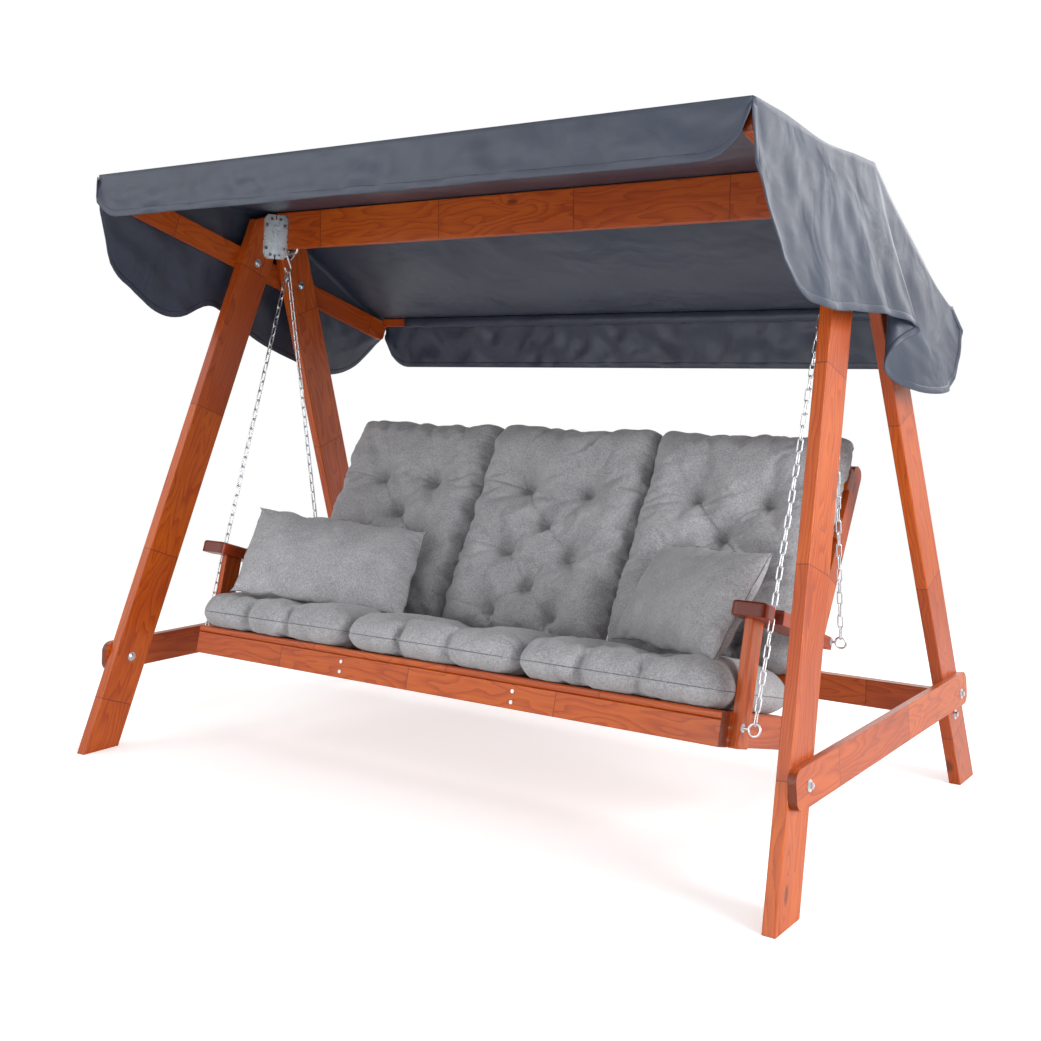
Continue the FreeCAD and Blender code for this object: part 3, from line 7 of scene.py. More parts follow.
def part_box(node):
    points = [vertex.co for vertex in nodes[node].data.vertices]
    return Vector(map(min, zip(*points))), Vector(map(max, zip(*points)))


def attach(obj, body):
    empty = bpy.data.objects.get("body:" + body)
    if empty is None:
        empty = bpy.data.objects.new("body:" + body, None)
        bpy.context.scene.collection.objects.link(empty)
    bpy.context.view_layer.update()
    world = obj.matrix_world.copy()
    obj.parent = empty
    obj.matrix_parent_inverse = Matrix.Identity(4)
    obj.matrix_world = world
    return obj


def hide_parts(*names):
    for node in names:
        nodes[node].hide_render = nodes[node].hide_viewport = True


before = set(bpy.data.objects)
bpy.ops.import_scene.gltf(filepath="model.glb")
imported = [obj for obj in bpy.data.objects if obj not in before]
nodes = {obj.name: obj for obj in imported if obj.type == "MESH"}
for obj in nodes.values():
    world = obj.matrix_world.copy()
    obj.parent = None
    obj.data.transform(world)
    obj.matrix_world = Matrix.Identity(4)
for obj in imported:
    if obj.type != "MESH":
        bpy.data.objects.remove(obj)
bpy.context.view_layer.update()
scene = bpy.context.scene
print("frame loaded:", len(nodes), "nodes")


# camera at the photograph's place

cameraSet = {
    "place": (2.1638, -3.1342, 1.1348),
    "yaw": 0.604,  # radians to the left of +Y
    "pitch": -0.1078,
    "roll": 0.0097,
    "focalShare": 1322.88 / 1041,  # focal length over the picture's width
}


def makeCamera(cfg):
    cosPitch = math.cos(cfg["pitch"])
    ahead = Vector((-math.sin(cfg["yaw"]) * cosPitch, math.cos(cfg["yaw"]) * cosPitch, math.sin(cfg["pitch"])))
    right = ahead.cross(Vector((0, 0, 1))).normalized()
    up = right.cross(ahead)
    cosRoll, sinRoll = math.cos(cfg["roll"]), math.sin(cfg["roll"])
    rolledRight = right * cosRoll + up * sinRoll
    rolledUp = up * cosRoll - right * sinRoll
    turn = Matrix((rolledRight, rolledUp, -ahead)).transposed().to_4x4()
    data = bpy.data.cameras.new("photoCamera")
    data.lens = cfg["focalShare"] * data.sensor_width
    data.clip_end = 100
    camera = bpy.data.objects.new("photoCamera", data)
    camera.matrix_world = Matrix.Translation(cfg["place"]) @ turn
    scene.collection.objects.link(camera)
    scene.camera = camera


makeCamera(cameraSet)


# small makers shared by all pieces

def smoothFaces(mesh):
    mesh.polygons.foreach_set("use_smooth", [True] * len(mesh.polygons))


def addPiece(name, points, faces, material):
    mesh = bpy.data.meshes.new(name)
    mesh.from_pydata([tuple(p) for p in points], [], [tuple(f) for f in faces])
    mesh.validate()
    smoothFaces(mesh)
    mesh.materials.append(material)
    piece = bpy.data.objects.new(name, mesh)
    scene.collection.objects.link(piece)
    return piece


def bakedMesh(piece):
    # the mesh as its modifiers leave it, and the modifiers go
    graph = bpy.context.evaluated_depsgraph_get()
    mesh = bpy.data.meshes.new_from_object(piece.evaluated_get(graph))
    piece.modifiers.clear()
    return mesh


def readPoints(mesh):
    points = np.zeros(len(mesh.vertices) * 3)
    mesh.vertices.foreach_get("co", points)
    return points.reshape(-1, 3)


def gridFaces(rows, cols, closeRows=False, closeCols=False):
    faces = []
    for r in range(rows if closeRows else rows - 1):
        for c in range(cols if closeCols else cols - 1):
            r2, c2 = (r + 1) % rows, (c + 1) % cols
            faces.append((r * cols + c, r * cols + c2, r2 * cols + c2, r2 * cols + c))
    return faces


def tubePoints(path, radius, sides=8, closed=False):
    # rings of points round a path, with a frame carried along it
    path = np.asarray(path, float)
    count = len(path)
    if closed:
        ahead = np.roll(path, -1, 0) - np.roll(path, 1, 0)
    else:
        ahead = np.gradient(path, axis=0)
    ahead /= np.linalg.norm(ahead, axis=1)[:, None] + 1e-12
    side = np.cross(ahead[0], (0.0, 0.0, 1.0))
    if np.linalg.norm(side) < 0.1:
        side = np.cross(ahead[0], (0.0, 1.0, 0.0))
    rings = []
    for k in range(count):
        side = side - ahead[k] * side.dot(ahead[k])
        side /= np.linalg.norm(side)
        lift = np.cross(side, ahead[k])
        for step in range(sides):
            angle = 2 * math.pi * step / sides
            rings.append(path[k] + radius * (math.cos(angle) * side + math.sin(angle) * lift))
    return rings


def addTube(name, path, radius, material, sides=8, closed=False):
    count = len(path)
    points = tubePoints(path, radius, sides, closed)
    faces = gridFaces(count, sides, closed, True)
    if not closed:
        faces += [tuple(range(sides))[::-1], tuple(range((count - 1) * sides, count * sides))]
    return addPiece(name, points, faces, material)


def throughPoints(stops, values, at):
    # a smooth line through given stops, each value column on its own
    stops = np.asarray(stops, float)
    values = np.asarray(values, float)
    slopes = np.gradient(values, stops, axis=0)
    at = np.clip(np.asarray(at, float), stops[0], stops[-1])
    k = np.clip(np.searchsorted(stops, at, side="right") - 1, 0, len(stops) - 2)
    span = stops[k + 1] - stops[k]
    t = (at - stops[k]) / span
    if values.ndim == 2:
        t, span = t[:, None], span[:, None]
    start, end = values[k], values[k + 1]
    rise, fall = slopes[k] * span, slopes[k + 1] * span
    t2, t3 = t * t, t * t * t
    return (2 * t3 - 3 * t2 + 1) * start + (t3 - 2 * t2 + t) * rise + (3 * t2 - 2 * t3) * end + (t3 - t2) * fall


def ripples(across, along, seed, waves, shortest, longest):
    # a smooth seeded unevenness between -1 and 1
    rng = np.random.default_rng(seed)
    total = np.zeros(np.broadcast(across, along).shape)
    for _ in range(waves):
        length = rng.uniform(shortest, longest)
        heading = rng.uniform(0, 2 * math.pi)
        phase = rng.uniform(0, 2 * math.pi)
        total += np.sin(2 * math.pi / length * (across * math.cos(heading) + along * math.sin(heading)) + phase)
    return total / math.sqrt(waves)


# materials

def addNode(tree, kind, inputs, **settings):
    # a number or a tuple is set on its socket, anything else is linked to it
    node = tree.nodes.new(f"ShaderNode{kind}")
    for name, value in settings.items():
        setattr(node, name, value)
    for place, value in inputs.items():
        socket = node.inputs[place]
        if isinstance(value, (int, float)):
            socket.default_value = value
        elif isinstance(value, (tuple, Vector)):
            socket.default_value = tuple(value)
        else:
            tree.links.new(value, socket)
    return node


def emptyTree(owner):
    owner.use_nodes = True
    owner.node_tree.nodes.clear()
    return owner.node_tree


def newMaterial(name):
    material = bpy.data.materials.new(name)
    tree = emptyTree(material)
    return material, tree, addNode(tree, "TexCoord", {}).outputs


def finishMaterial(material, inputs):
    tree = material.node_tree
    shader = addNode(tree, "BsdfPrincipled", inputs)
    addNode(tree, "OutputMaterial", {"Surface": shader.outputs["BSDF"]})
    return material


def mathNode(tree, kind, *values):
    return addNode(tree, "Math", dict(enumerate(values)), operation=kind).outputs[0]


def sums(tree):
    # the three sums that the node trees are written with
    def sumOf(kind):
        return lambda first, second: mathNode(tree, kind, first, second)

    return sumOf("ADD"), sumOf("SUBTRACT"), sumOf("MULTIPLY")


def between(tree, value, low, high):
    return mathNode(tree, "MINIMUM", mathNode(tree, "MAXIMUM", value, low), high)


def vectorNode(tree, kind, *values):
    return addNode(tree, "VectorMath", dict(enumerate(values)), operation=kind).outputs["Value"]


def combineNode(tree, x, y, z):
    return addNode(tree, "CombineXYZ", {"X": x, "Y": y, "Z": z}).outputs[0]


def noiseNode(tree, vector, scale, detail=3.0, rough=0.5, warp=0.0):
    inputs = {"Vector": vector, "Scale": scale, "Detail": detail, "Roughness": rough, "Distortion": warp}
    return addNode(tree, "TexNoise", inputs).outputs["Fac"]


def rampNode(tree, value, stops):
    node = addNode(tree, "ValToRGB", {"Fac": value})
    ramp = node.color_ramp
    ramp.elements[0].position, ramp.elements[0].color = stops[0][0], (*stops[0][1], 1)
    ramp.elements[1].position, ramp.elements[1].color = stops[-1][0], (*stops[-1][1], 1)
    for place, colour in stops[1:-1]:
        ramp.elements.new(place).color = (*colour, 1)
    return node.outputs["Color"]


def mixColours(tree, share, first, second):
    # sockets 0, 6 and 7 are the share and the two colours
    return addNode(tree, "Mix", {0: share, 6: first, 7: (*second, 1)}, data_type="RGBA").outputs[2]


def mixShaders(tree, share, first, second):
    return addNode(tree, "MixShader", {0: share, 1: first, 2: second}).outputs[0]


def bumpNode(tree, height, strength, distance, under=None):
    inputs = {"Height": height, "Strength": strength, "Distance": distance}
    if under is not None:
        inputs["Normal"] = under
    return addNode(tree, "Bump", inputs).outputs["Normal"]


def tint(red, green, blue):
    # a colour as it is seen, from 0 to 255, turned into light
    return tuple(((c / 255 + 0.055) / 1.055) ** 2.4 if c > 10 else c / 255 / 12.92 for c in (red, green, blue))


pineSet = {
    "pale": tint(190, 90, 22),
    "middle": tint(162, 65, 14),
    "deep": tint(116, 40, 8),
    "knot": tint(84, 28, 8),
    "ringsPerMetre": 105.0,
    "ringTone": 0.3,
    "ringEdge": 2.6,  # how sharply a ring ends
    "fibreTone": 0.42,
    "pieceTone": 0.22,  # difference between the pieces of a board
    "wanderTone": 0.35,
    "pith": (0.02, 0.11),  # middle of the tree, across the board and behind it
    "pithSpread": (0.10, 0.11),
    "knotsPerMetre": 3.4,
    "knotBend": 2.2,
    "knotDark": 0.7,
    "jointEvery": 0.47,  # finger joints along a board
    "jointWide": 0.0015,
    "jointDark": 0.6,
    "endDark": 0.75,
    "easedEdge": 0.0035,
    "grainBump": (0.25, 0.0006),
    "roughness": 0.36,
    "specular": 0.35,
    "gloss": 0.16,
    "glossRoughness": 0.12,
}


def shaded(colour, shade):
    return tuple(part * share for part, share in zip(colour, shade))


def stainedPine(name, middle, along, face, cfg, seed=0.0, shade=(1, 1, 1), joints=True):
    # rings of a tree that stood behind the board's wide face, with fibres, knots and finger joints
    material, tree, places = newMaterial(name)
    add, less, times = sums(tree)
    pale, middling, deep, knot = (shaded(cfg[part], shade) for part in ("pale", "middle", "deep", "knot"))
    along = Vector(along).normalized()
    first = along.cross(Vector(face)).normalized()
    second = along.cross(first)
    spot = places["Object"]
    length = vectorNode(tree, "DOT_PRODUCT", spot, along)
    a = less(vectorNode(tree, "DOT_PRODUCT", spot, first), first.dot(middle))
    b = less(vectorNode(tree, "DOT_PRODUCT", spot, second), second.dot(middle))
    # each board between two joints is its own piece of wood
    step = add(mathNode(tree, "DIVIDE", length, cfg["jointEvery"]), seed + 20.37)
    own = 0.5
    if joints:
        number = add(mathNode(tree, "FLOOR", step), seed * 7.7)
        own = addNode(tree, "TexWhiteNoise", {"W": number}, noise_dimensions="1D").outputs["Value"]
    slow = combineNode(tree, times(length, 1.1), add(times(a, 5.0), times(own, 9.0)), times(b, 5.0))
    wander = noiseNode(tree, slow, 2.2, 2.0)
    fine = combineNode(tree, times(length, 3.0), times(a, 60.0), times(b, 60.0))
    fibre = noiseNode(tree, fine, 3.0, 4.0, 0.65)
    # knots bend the rings round themselves
    drawn = combineNode(tree, add(length, seed * 3.1), times(a, 2.4), times(b, 1.2))
    cell = addNode(tree, "TexVoronoi", {"Vector": drawn, "Scale": cfg["knotsPerMetre"], "Randomness": 1.0})
    near = less(1.0, mathNode(tree, "SMOOTH_MIN", times(cell.outputs["Distance"], 4.2), 1.0, 0.2))
    near = mathNode(tree, "MAXIMUM", near, 0.0)
    depthA = add(add(a, cfg["pith"][0]), times(less(own, 0.5), cfg["pithSpread"][0]))
    depthB = add(add(b, cfg["pith"][1]), times(less(wander, 0.5), cfg["pithSpread"][1]))
    radius = vectorNode(tree, "LENGTH", combineNode(tree, depthA, depthB, 0.0))
    turns = add(times(radius, cfg["ringsPerMetre"]), times(near, cfg["knotBend"]))
    turns = add(turns, times(fibre, 0.55))
    ring = mathNode(tree, "POWER", mathNode(tree, "FRACT", turns), cfg["ringEdge"])
    tone = add(times(ring, cfg["ringTone"]), times(fibre, cfg["fibreTone"]))
    tone = add(tone, times(less(own, 0.5), cfg["pieceTone"]))
    tone = add(tone, times(less(wander, 0.5), cfg["wanderTone"]))
    colour = rampNode(tree, tone, [(0.05, pale), (0.38, middling), (0.85, deep)])
    core = times(mathNode(tree, "MAXIMUM", less(near, 0.62), 0.0), 6.0)
    core = times(mathNode(tree, "MINIMUM", core, 1.0), cfg["knotDark"])
    colour = mixColours(tree, core, colour, knot)
    if joints:
        gap = mathNode(tree, "ABSOLUTE", less(mathNode(tree, "FRACT", step), 0.5))
        seam = mathNode(tree, "GREATER_THAN", gap, 0.5 - cfg["jointWide"] / cfg["jointEvery"])
        colour = mixColours(tree, times(seam, cfg["jointDark"]), colour, knot)
    # sawn ends drink the stain and turn dark
    facing = mathNode(tree, "ABSOLUTE", vectorNode(tree, "DOT_PRODUCT", places["Normal"], along))
    ends = between(tree, times(less(facing, 0.5), 4.0), 0.0, cfg["endDark"])
    colour = mixColours(tree, ends, colour, knot)
    # planed edges are eased, so they catch the light
    eased = addNode(tree, "Bevel", {"Radius": cfg["easedEdge"]}, samples=4)
    grain = bumpNode(tree, add(ring, fibre), *cfg["grainBump"], eased.outputs["Normal"])
    return finishMaterial(material, {
        "Base Color": colour, "Normal": grain, "Roughness": cfg["roughness"], "Specular IOR Level": cfg["specular"],
        "Coat Weight": cfg["gloss"], "Coat Roughness": cfg["glossRoughness"]})


steelSet = {
    "colour": (0.66, 0.69, 0.72),
    "clouding": 0.14,
    "roughness": (0.19, 0.2),  # least, and how much the clouds add
    "spangleBump": (0.05, 0.0003),
}


def zincSteel(name, cfg):
    material, tree, places = newMaterial(name)
    add, _, times = sums(tree)
    cloud = noiseNode(tree, places["Object"], 60.0, 3.0)
    spangle = noiseNode(tree, places["Object"], 260.0, 2.0)
    dull, bright = (tuple(part * (1 + sign * cfg["clouding"]) for part in cfg["colour"]) for sign in (-1, 1))
    colour = rampNode(tree, add(times(cloud, 0.6), times(spangle, 0.4)), [(0.3, dull), (0.7, bright)])
    least, more = cfg["roughness"]
    return finishMaterial(material, {
        "Base Color": colour, "Normal": bumpNode(tree, spangle, *cfg["spangleBump"]),
        "Roughness": add(times(cloud, more), least), "Metallic": 1.0})


def threadNode(tree, x, y, z, perMetre):
    # height of crossing threads
    add, _, times = sums(tree)
    warp = mathNode(tree, "SINE", times(x, perMetre * 6.28))
    weft = mathNode(tree, "SINE", times(add(y, z), perMetre * 4.4))
    return add(warp, weft)


cushionClothSet = {
    "pale": tint(180, 180, 183),
    "middle": tint(154, 154, 157),
    "dark": tint(122, 122, 126),
    "threadsPerMetre": 900.0,
}


def melangeCloth(name, cfg):
    # mixed grey yarn: flecks drawn out along the weave, thread bump, a soft bloom
    material, tree, places = newMaterial(name)
    add, _, times = sums(tree)
    spot = places["Object"]
    x, y, z = addNode(tree, "SeparateXYZ", {0: spot}).outputs
    fleck = noiseNode(tree, combineNode(tree, x, times(y, 0.35), times(z, 0.35)), 420.0, 3.0, 0.6)
    cross = noiseNode(tree, combineNode(tree, times(x, 0.3), y, z), 380.0, 3.0, 0.6)
    cloud = noiseNode(tree, spot, 14.0, 3.0)
    tone = add(add(times(fleck, 0.42), times(cross, 0.42)), times(cloud, 0.2))
    colour = rampNode(tree, tone, [(0.36, cfg["dark"]), (0.52, cfg["middle"]), (0.68, cfg["pale"])])
    threads = threadNode(tree, x, y, z, cfg["threadsPerMetre"])
    weave = bumpNode(tree, add(threads, times(fleck, 2.0)), 0.25, 0.0004)
    soft = bumpNode(tree, noiseNode(tree, spot, 30.0, 3.0, 0.5), 0.18, 0.004, weave)
    return finishMaterial(material, {
        "Base Color": colour, "Normal": soft, "Roughness": 0.92, "Specular IOR Level": 0.2,
        "Sheen Weight": 0.25, "Sheen Roughness": 0.5})


canopyClothSet = {
    # lit and dark are a lit and a shaded tone of the same cloth: painted light and shade
    "lit": tint(57, 64, 80),
    "dark": tint(48, 54, 68),
    "threadsPerMetre": 1400.0,
}


def coatedCloth(name, cfg):
    # close woven polyester with a slight satin shine and packing creases
    material, tree, places = newMaterial(name)
    add, _, times = sums(tree)
    spot = places["Object"]
    x, y, z = addNode(tree, "SeparateXYZ", {0: spot}).outputs
    # painted light and shade: the cloud noise lays soft patches of the lit and the darker tone, and the thread noise
    # adds a real tone that differs from thread to thread
    cloud = noiseNode(tree, spot, 5.0, 4.0)
    thread = noiseNode(tree, combineNode(tree, x, times(y, 6.0), times(z, 6.0)), 160.0, 2.0)
    tone = add(times(cloud, 0.6), times(thread, 0.4))
    colour = rampNode(tree, tone, [(0.35, cfg["dark"]), (0.65, cfg["lit"])])
    fine = bumpNode(tree, threadNode(tree, x, y, z, cfg["threadsPerMetre"]), 0.12, 0.0003)
    crease = noiseNode(tree, combineNode(tree, times(x, 0.8), y, z), 6.0, 2.5, 0.5, 0.5)
    folded = bumpNode(tree, crease, 0.6, 0.022, fine)
    return finishMaterial(material, {
        "Base Color": colour, "Normal": folded, "Roughness": 0.4, "Specular IOR Level": 0.42})


# wood of every board, with its grain along the board

lean = math.radians(4.94)
legSlant = math.radians(20.1)
rafterSlant = math.radians(16.3)
benchTilt = math.radians(14.0)
backTilt = math.radians(29.5)
armTilt = math.radians(17.7)
acrossX = (1, 0, 0)
benchAlong = (0, math.cos(benchTilt), -math.sin(benchTilt))
benchUp = (0, math.sin(benchTilt), math.cos(benchTilt))
backUp = (0, math.sin(backTilt), math.cos(backTilt))
backRear = (0, math.cos(backTilt), -math.sin(backTilt))

boards = {
    "top_beam": (acrossX, (0, 1, 0)), "rear_crossbar": (acrossX, (0, 1, 0)),
    "front_canopy_rail": (acrossX, (0, 1, 0)), "rear_canopy_rail": (acrossX, (0, 1, 0)),
    "front_apron": (acrossX, benchAlong), "front_seat_slat": (acrossX, benchUp), "seat_slats": (acrossX, benchUp),
    "rear_seat_rail": (acrossX, benchAlong), "back_slats": (acrossX, backRear),
    "seat_joists": (benchAlong, acrossX), "seat_cleats": (benchAlong, acrossX), "back_battens": (backUp, backRear),
}
for sideName, side in (("left", -1), ("right", 1)):
    for endName, end in (("front", -1), ("back", 1)):
        slant = (-side * math.sin(lean) * math.cos(legSlant), -end * math.sin(legSlant),
                 math.cos(lean) * math.cos(legSlant))
        boards[f"{sideName}_{endName}_leg"] = (slant, acrossX)
    slope = (side * math.sin(lean) * math.sin(rafterSlant), math.cos(rafterSlant), -math.sin(rafterSlant))
    boards[f"{sideName}_rafter"] = (slope, acrossX)
    boards[f"{sideName}_side_brace"] = ((0, 1, 0), acrossX)
    boards[f"{sideName}_side_rail"] = (benchAlong, acrossX)
    boards[f"{sideName}_arm_post"] = (benchUp, acrossX)
    boards[f"{sideName}_back_stile"] = (backUp, acrossX)

armrestShade = (0.72, 0.5, 0.5)


def paint(node, material):
    nodes[node].data.materials.clear()
    nodes[node].data.materials.append(material)


for number, (node, (along, face)) in enumerate(sorted(boards.items())):
    low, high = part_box(node)
    paint(node, stainedPine(f"pine_{node}", (low + high) / 2, along, face, pineSet, seed=number * 0.37))
for sideName in ("left", "right"):
    low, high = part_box(f"{sideName}_armrest")
    slope = (0, math.cos(armTilt), -math.sin(armTilt))
    wood = stainedPine(f"pine_{sideName}_armrest", (low + high) / 2, slope, (0, 0, 1), pineSet,
                       seed=3.3, shade=armrestShade, joints=False)
    paint(f"{sideName}_armrest", wood)

steel = zincSteel("zincSteel", steelSet)
darkSteel = zincSteel("darkSteel", {**steelSet, "colour": (0.2, 0.2, 0.21)})
for node in ("beam_brackets", "bracket_screws", "brace_bolts", "rafter_bolts", "crossbar_bolts",
             "left_hanger", "right_hanger", "hanger_nuts", "left_s_hook", "right_s_hook",
             "front_eye_bolts", "rear_eye_bolts", "eye_bolt_nuts", "bench_screws"):
    paint(node, darkSteel if node == "bracket_screws" else steel)
print("wood and steel set")


# chains of long welded links

chainSet = {
    "plane": 0.92,  # how far each pair of chains hangs from the middle
    "wire": 0.004,
    "wide": 0.016,
    "pitch": 0.032,
    "gap": 0.0003,  # play between two links
    "hook": (0.0, 1.478),  # middle of the hook's lower bend
    "hookRadius": 0.013,
    "hookWire": 0.006,
    "eyeRadius": 0.0145,
    "eyeWire": 0.006,
    "frontEye": (0.072, 0.049),  # along and above the bench
    "rearEye": (-0.012, 0.300),  # behind and up the back's line
}


# the bench and its back each have a line that their sizes are taken from
benchOrigin = (0, -0.457, 0.302)
backOrigin = (0, 0.01214, 0.18503)
seatPlace = (0.2, 0.0835)  # middle and underside of a seat cushion, along and above the bench
backPlace = (-0.0805, 0.508)  # rear face and middle of a back cushion, behind and up the back's line


def benchPoint(x, along, up):
    return Vector((x, benchOrigin[1] + along * math.cos(benchTilt) + up * math.sin(benchTilt),
                   benchOrigin[2] - along * math.sin(benchTilt) + up * math.cos(benchTilt)))


def backPoint(x, rear, up):
    return Vector((x, backOrigin[1] + rear * math.cos(backTilt) + up * math.sin(backTilt),
                   backOrigin[2] - rear * math.sin(backTilt) + up * math.cos(backTilt)))


benchAxes = np.array((acrossX, benchAlong, benchUp))
backAxes = np.array((acrossX, backRear, backUp))


def ontoBench(points, middle):
    return (points + (middle, *seatPlace)) @ benchAxes + benchOrigin


def ontoBack(points, middle):
    local = np.stack([points[:, 0] + middle, backPlace[0] - points[:, 2], backPlace[1] + points[:, 1]], 1)
    return local @ backAxes + backOrigin


def linkLoop(inner, cfg, steps=7):
    radius = (cfg["wide"] - cfg["wire"]) / 2
    reach = (inner + cfg["wire"]) / 2 - radius
    loop = []
    for sign in (1, -1):
        for step in range(steps + 1):
            angle = math.pi * step / steps - math.pi / 2
            loop.append((sign * (reach + radius * math.cos(angle)), sign * radius * math.sin(angle), 0.0))
    return np.array(loop)


def makeChain(name, side, start, spot, node, cfg):
    ahead = (spot - start).normalized()
    length = (spot - start).length - (cfg["eyeRadius"] - (cfg["eyeWire"] + cfg["wire"]) / 2 - cfg["gap"])
    room = length - cfg["wire"] - cfg["gap"]
    count = 2 * round(room / (2 * (cfg["pitch"] - cfg["gap"])))
    inner = (length - cfg["wire"] + (count - 1) * cfg["gap"]) / count
    loop = tubePoints(linkLoop(inner, cfg), cfg["wire"] / 2, 8, True)
    faces = gridFaces(len(loop) // 8, 8, True, True)
    points, allFaces = [], []
    flatSide, edgeSide = Vector((1, 0, 0)), ahead.cross(Vector((1, 0, 0)))
    for k in range(count):
        far = k * (inner - cfg["gap"]) + (inner + cfg["wire"]) / 2
        middle = start + ahead * far + Vector((side * cfg["plane"], 0, 0))
        across = flatSide if k % 2 == 0 else edgeSide
        normal = ahead.cross(across)
        base = len(points)
        points += [middle + ahead * p[0] + across * p[1] + normal * p[2] for p in loop]
        allFaces += [tuple(base + i for i in face) for face in faces]
    chain = addPiece(name, points, allFaces, steel)
    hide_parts(node)
    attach(chain, "swing")


def makeChains(cfg):
    frontEye = benchPoint(0, *cfg["frontEye"])
    rearEye = backPoint(0, *cfg["rearEye"])
    hook = Vector((0, *cfg["hook"]))
    pulls = [(eye - hook).normalized() for eye in (frontEye, rearEye)]
    angles = [math.atan2(pull.y, -pull.z) for pull in pulls]
    inside = cfg["hookRadius"] - (cfg["hookWire"] + cfg["wire"]) / 2 - cfg["gap"]
    extra = max(0, (cfg["wire"] + 2 * cfg["gap"]) / inside - (angles[1] - angles[0])) / 2
    for sideName, side in (("left", -1), ("right", 1)):
        for kind, eye, angle in (("Front", frontEye, angles[0] - extra), ("Rear", rearEye, angles[1] + extra)):
            start = hook + Vector((0, math.sin(angle), -math.cos(angle))) * inside
            makeChain(f"{sideName}{kind}Chain", side, start, eye, f"{sideName}_{kind.lower()}_chain", cfg)


makeChains(chainSet)
print("chains made")


# stuffed pieces: a two sided shell, drawn in at its tufts, filled by a cloth run

rim = 0.4999  # a share beyond this lies on the shell's border
fillingSet = {"tension": 18, "compression": 12, "shear": 6}
creaseSet = {
    "starLong": (0.025, 0.075), "starDeep": (0.005, 0.010), "starWide": 0.0034,
    "joinDeep": 0.012, "joinWide": 0.0032, "joinFade": 0.6, "joinBend": 0.008,
    "pleatLong": (0.03, 0.08), "pleatDeep": (0.002, 0.005), "pleatWide": 0.0036,
    "pleatSlant": 0.012, "pleatEvery": (0.018, 0.04),
    "sideDeep": 0.008,
}


def shellGrid(cfg):
    # flat layout of the shell: places, index of each face, and its border loop
    nx, ny = cfg["across"], cfg["along"]
    gx, gy = np.meshgrid(np.linspace(-0.5, 0.5, nx + 1), np.linspace(-0.5, 0.5, ny + 1))
    border = (np.abs(gx) > rim) | (np.abs(gy) > rim)
    top = np.arange(gx.size).reshape(gx.shape)
    under = top.copy()
    under[~border] = gx.size + np.arange((~border).sum())
    faces = []
    for layer, order in ((top, 1), (under, -1)):
        for j in range(ny):
            for i in range(nx):
                face = (layer[j, i], layer[j, i + 1], layer[j + 1, i + 1], layer[j + 1, i])
                faces.append(face[::order])
    loop = [top[0, i] for i in range(nx)] + [top[j, nx] for j in range(ny)]
    loop += [top[ny, i] for i in range(nx, 0, -1)] + [top[j, 0] for j in range(ny, 0, -1)]
    return gx, gy, border, top, under, faces, loop


def roundedSpan(shares, length, radius):
    # equal steps of cloth over a flat middle and a round end: place across and share of the height
    flat = length / 2 - radius
    reach = flat + radius * math.pi / 2
    travel = np.abs(shares) * 2 * reach
    turn = np.clip((travel - flat) / radius, 0, math.pi / 2)
    place = np.where(travel < flat, travel, flat + radius * np.sin(turn))
    return np.sign(shares) * place, np.cos(turn)


def stuffedShell(name, cfg, material):
    gx, gy, border, top, under, faces, loop = shellGrid(cfg)
    wide, tall, thick = cfg["wide"], cfg["tall"], cfg["thick"]
    x, highX = roundedSpan(gx, wide, cfg["endRound"])
    y, highY = roundedSpan(gy, tall, cfg["endRound"])
    x = x * (1 - cfg["cornerPull"] * np.abs(2 * gy) ** cfg["cornerPower"])
    y = y * (1 - cfg["cornerPull"] * np.abs(2 * gx) ** cfg["cornerPower"])
    half = thick / 2 * cfg["startShare"] * (highX * highY) ** cfg["rimPower"]
    half = half * (1 + cfg["crown"] * (1 - 4 * gx ** 2) * (1 - 4 * gy ** 2))
    x = x + 0.003 * ripples(x, y, cfg["seed"], 5, 0.08, 0.3)
    y = y + 0.003 * ripples(x, y, cfg["seed"] + 1, 5, 0.08, 0.3)
    draw = np.zeros(gx.shape)
    pinned = np.zeros(gx.shape, bool)
    for sx, sy in cfg["tufts"]:
        far = np.hypot(x - sx * wide, y - sy * tall)
        draw = np.maximum(draw, np.exp(-(far / cfg["tuftWide"]) ** 2))
        pinned |= far < cfg["tuftPin"]
    if cfg["gatherEvery"]:
        # the border is gathered at even steps, so it puffs between them
        every = cfg["gatherEvery"]
        nearX, nearY = (np.abs(flat / every - np.round(flat / every)) * every for flat in (gx * wide, gy * tall))
        endX, endY = np.abs(gx) > rim, np.abs(gy) > rim
        pinned |= (endX & (nearY < 0.0042)) | (endY & (nearX < 0.0042)) | (endX & endY)
    for sx, sy, deep in cfg["pinches"]:
        far = np.hypot(x - sx * wide, (y - sy * tall) * 0.6)
        pull = deep * np.exp(-(far / cfg["pinchWide"]) ** 2)
        y = y - np.sign(sy) * pull
        half = half * (1 - 0.55 * pull / max(deep, 1e-6))
        pinned |= (far < cfg["tuftPin"]) & border
    half = half * (1 - draw) + cfg["tuftHalf"] * draw * ~border
    half = half * (1 + 0.05 * ripples(x, y, cfg["seed"] + 2, 7, 0.03, 0.12))
    points = np.zeros((gx.size + (~border).sum(), 3))
    points[top.ravel()] = np.stack([x.ravel(), y.ravel(), np.where(border, 0, half).ravel()], 1)
    inner = ~border
    points[under[inner]] = np.stack([x[inner], y[inner], -half[inner] * cfg["underShare"]], 1)
    piece = addPiece(name, points, faces, material)
    group = piece.vertex_groups.new(name="held")
    held = set(top[pinned].tolist()) | set(under[pinned].tolist())
    group.add(sorted(int(v) for v in held), 1.0, "REPLACE")
    points = fillShell(piece, group, points, cfg)
    return piece, points, loop


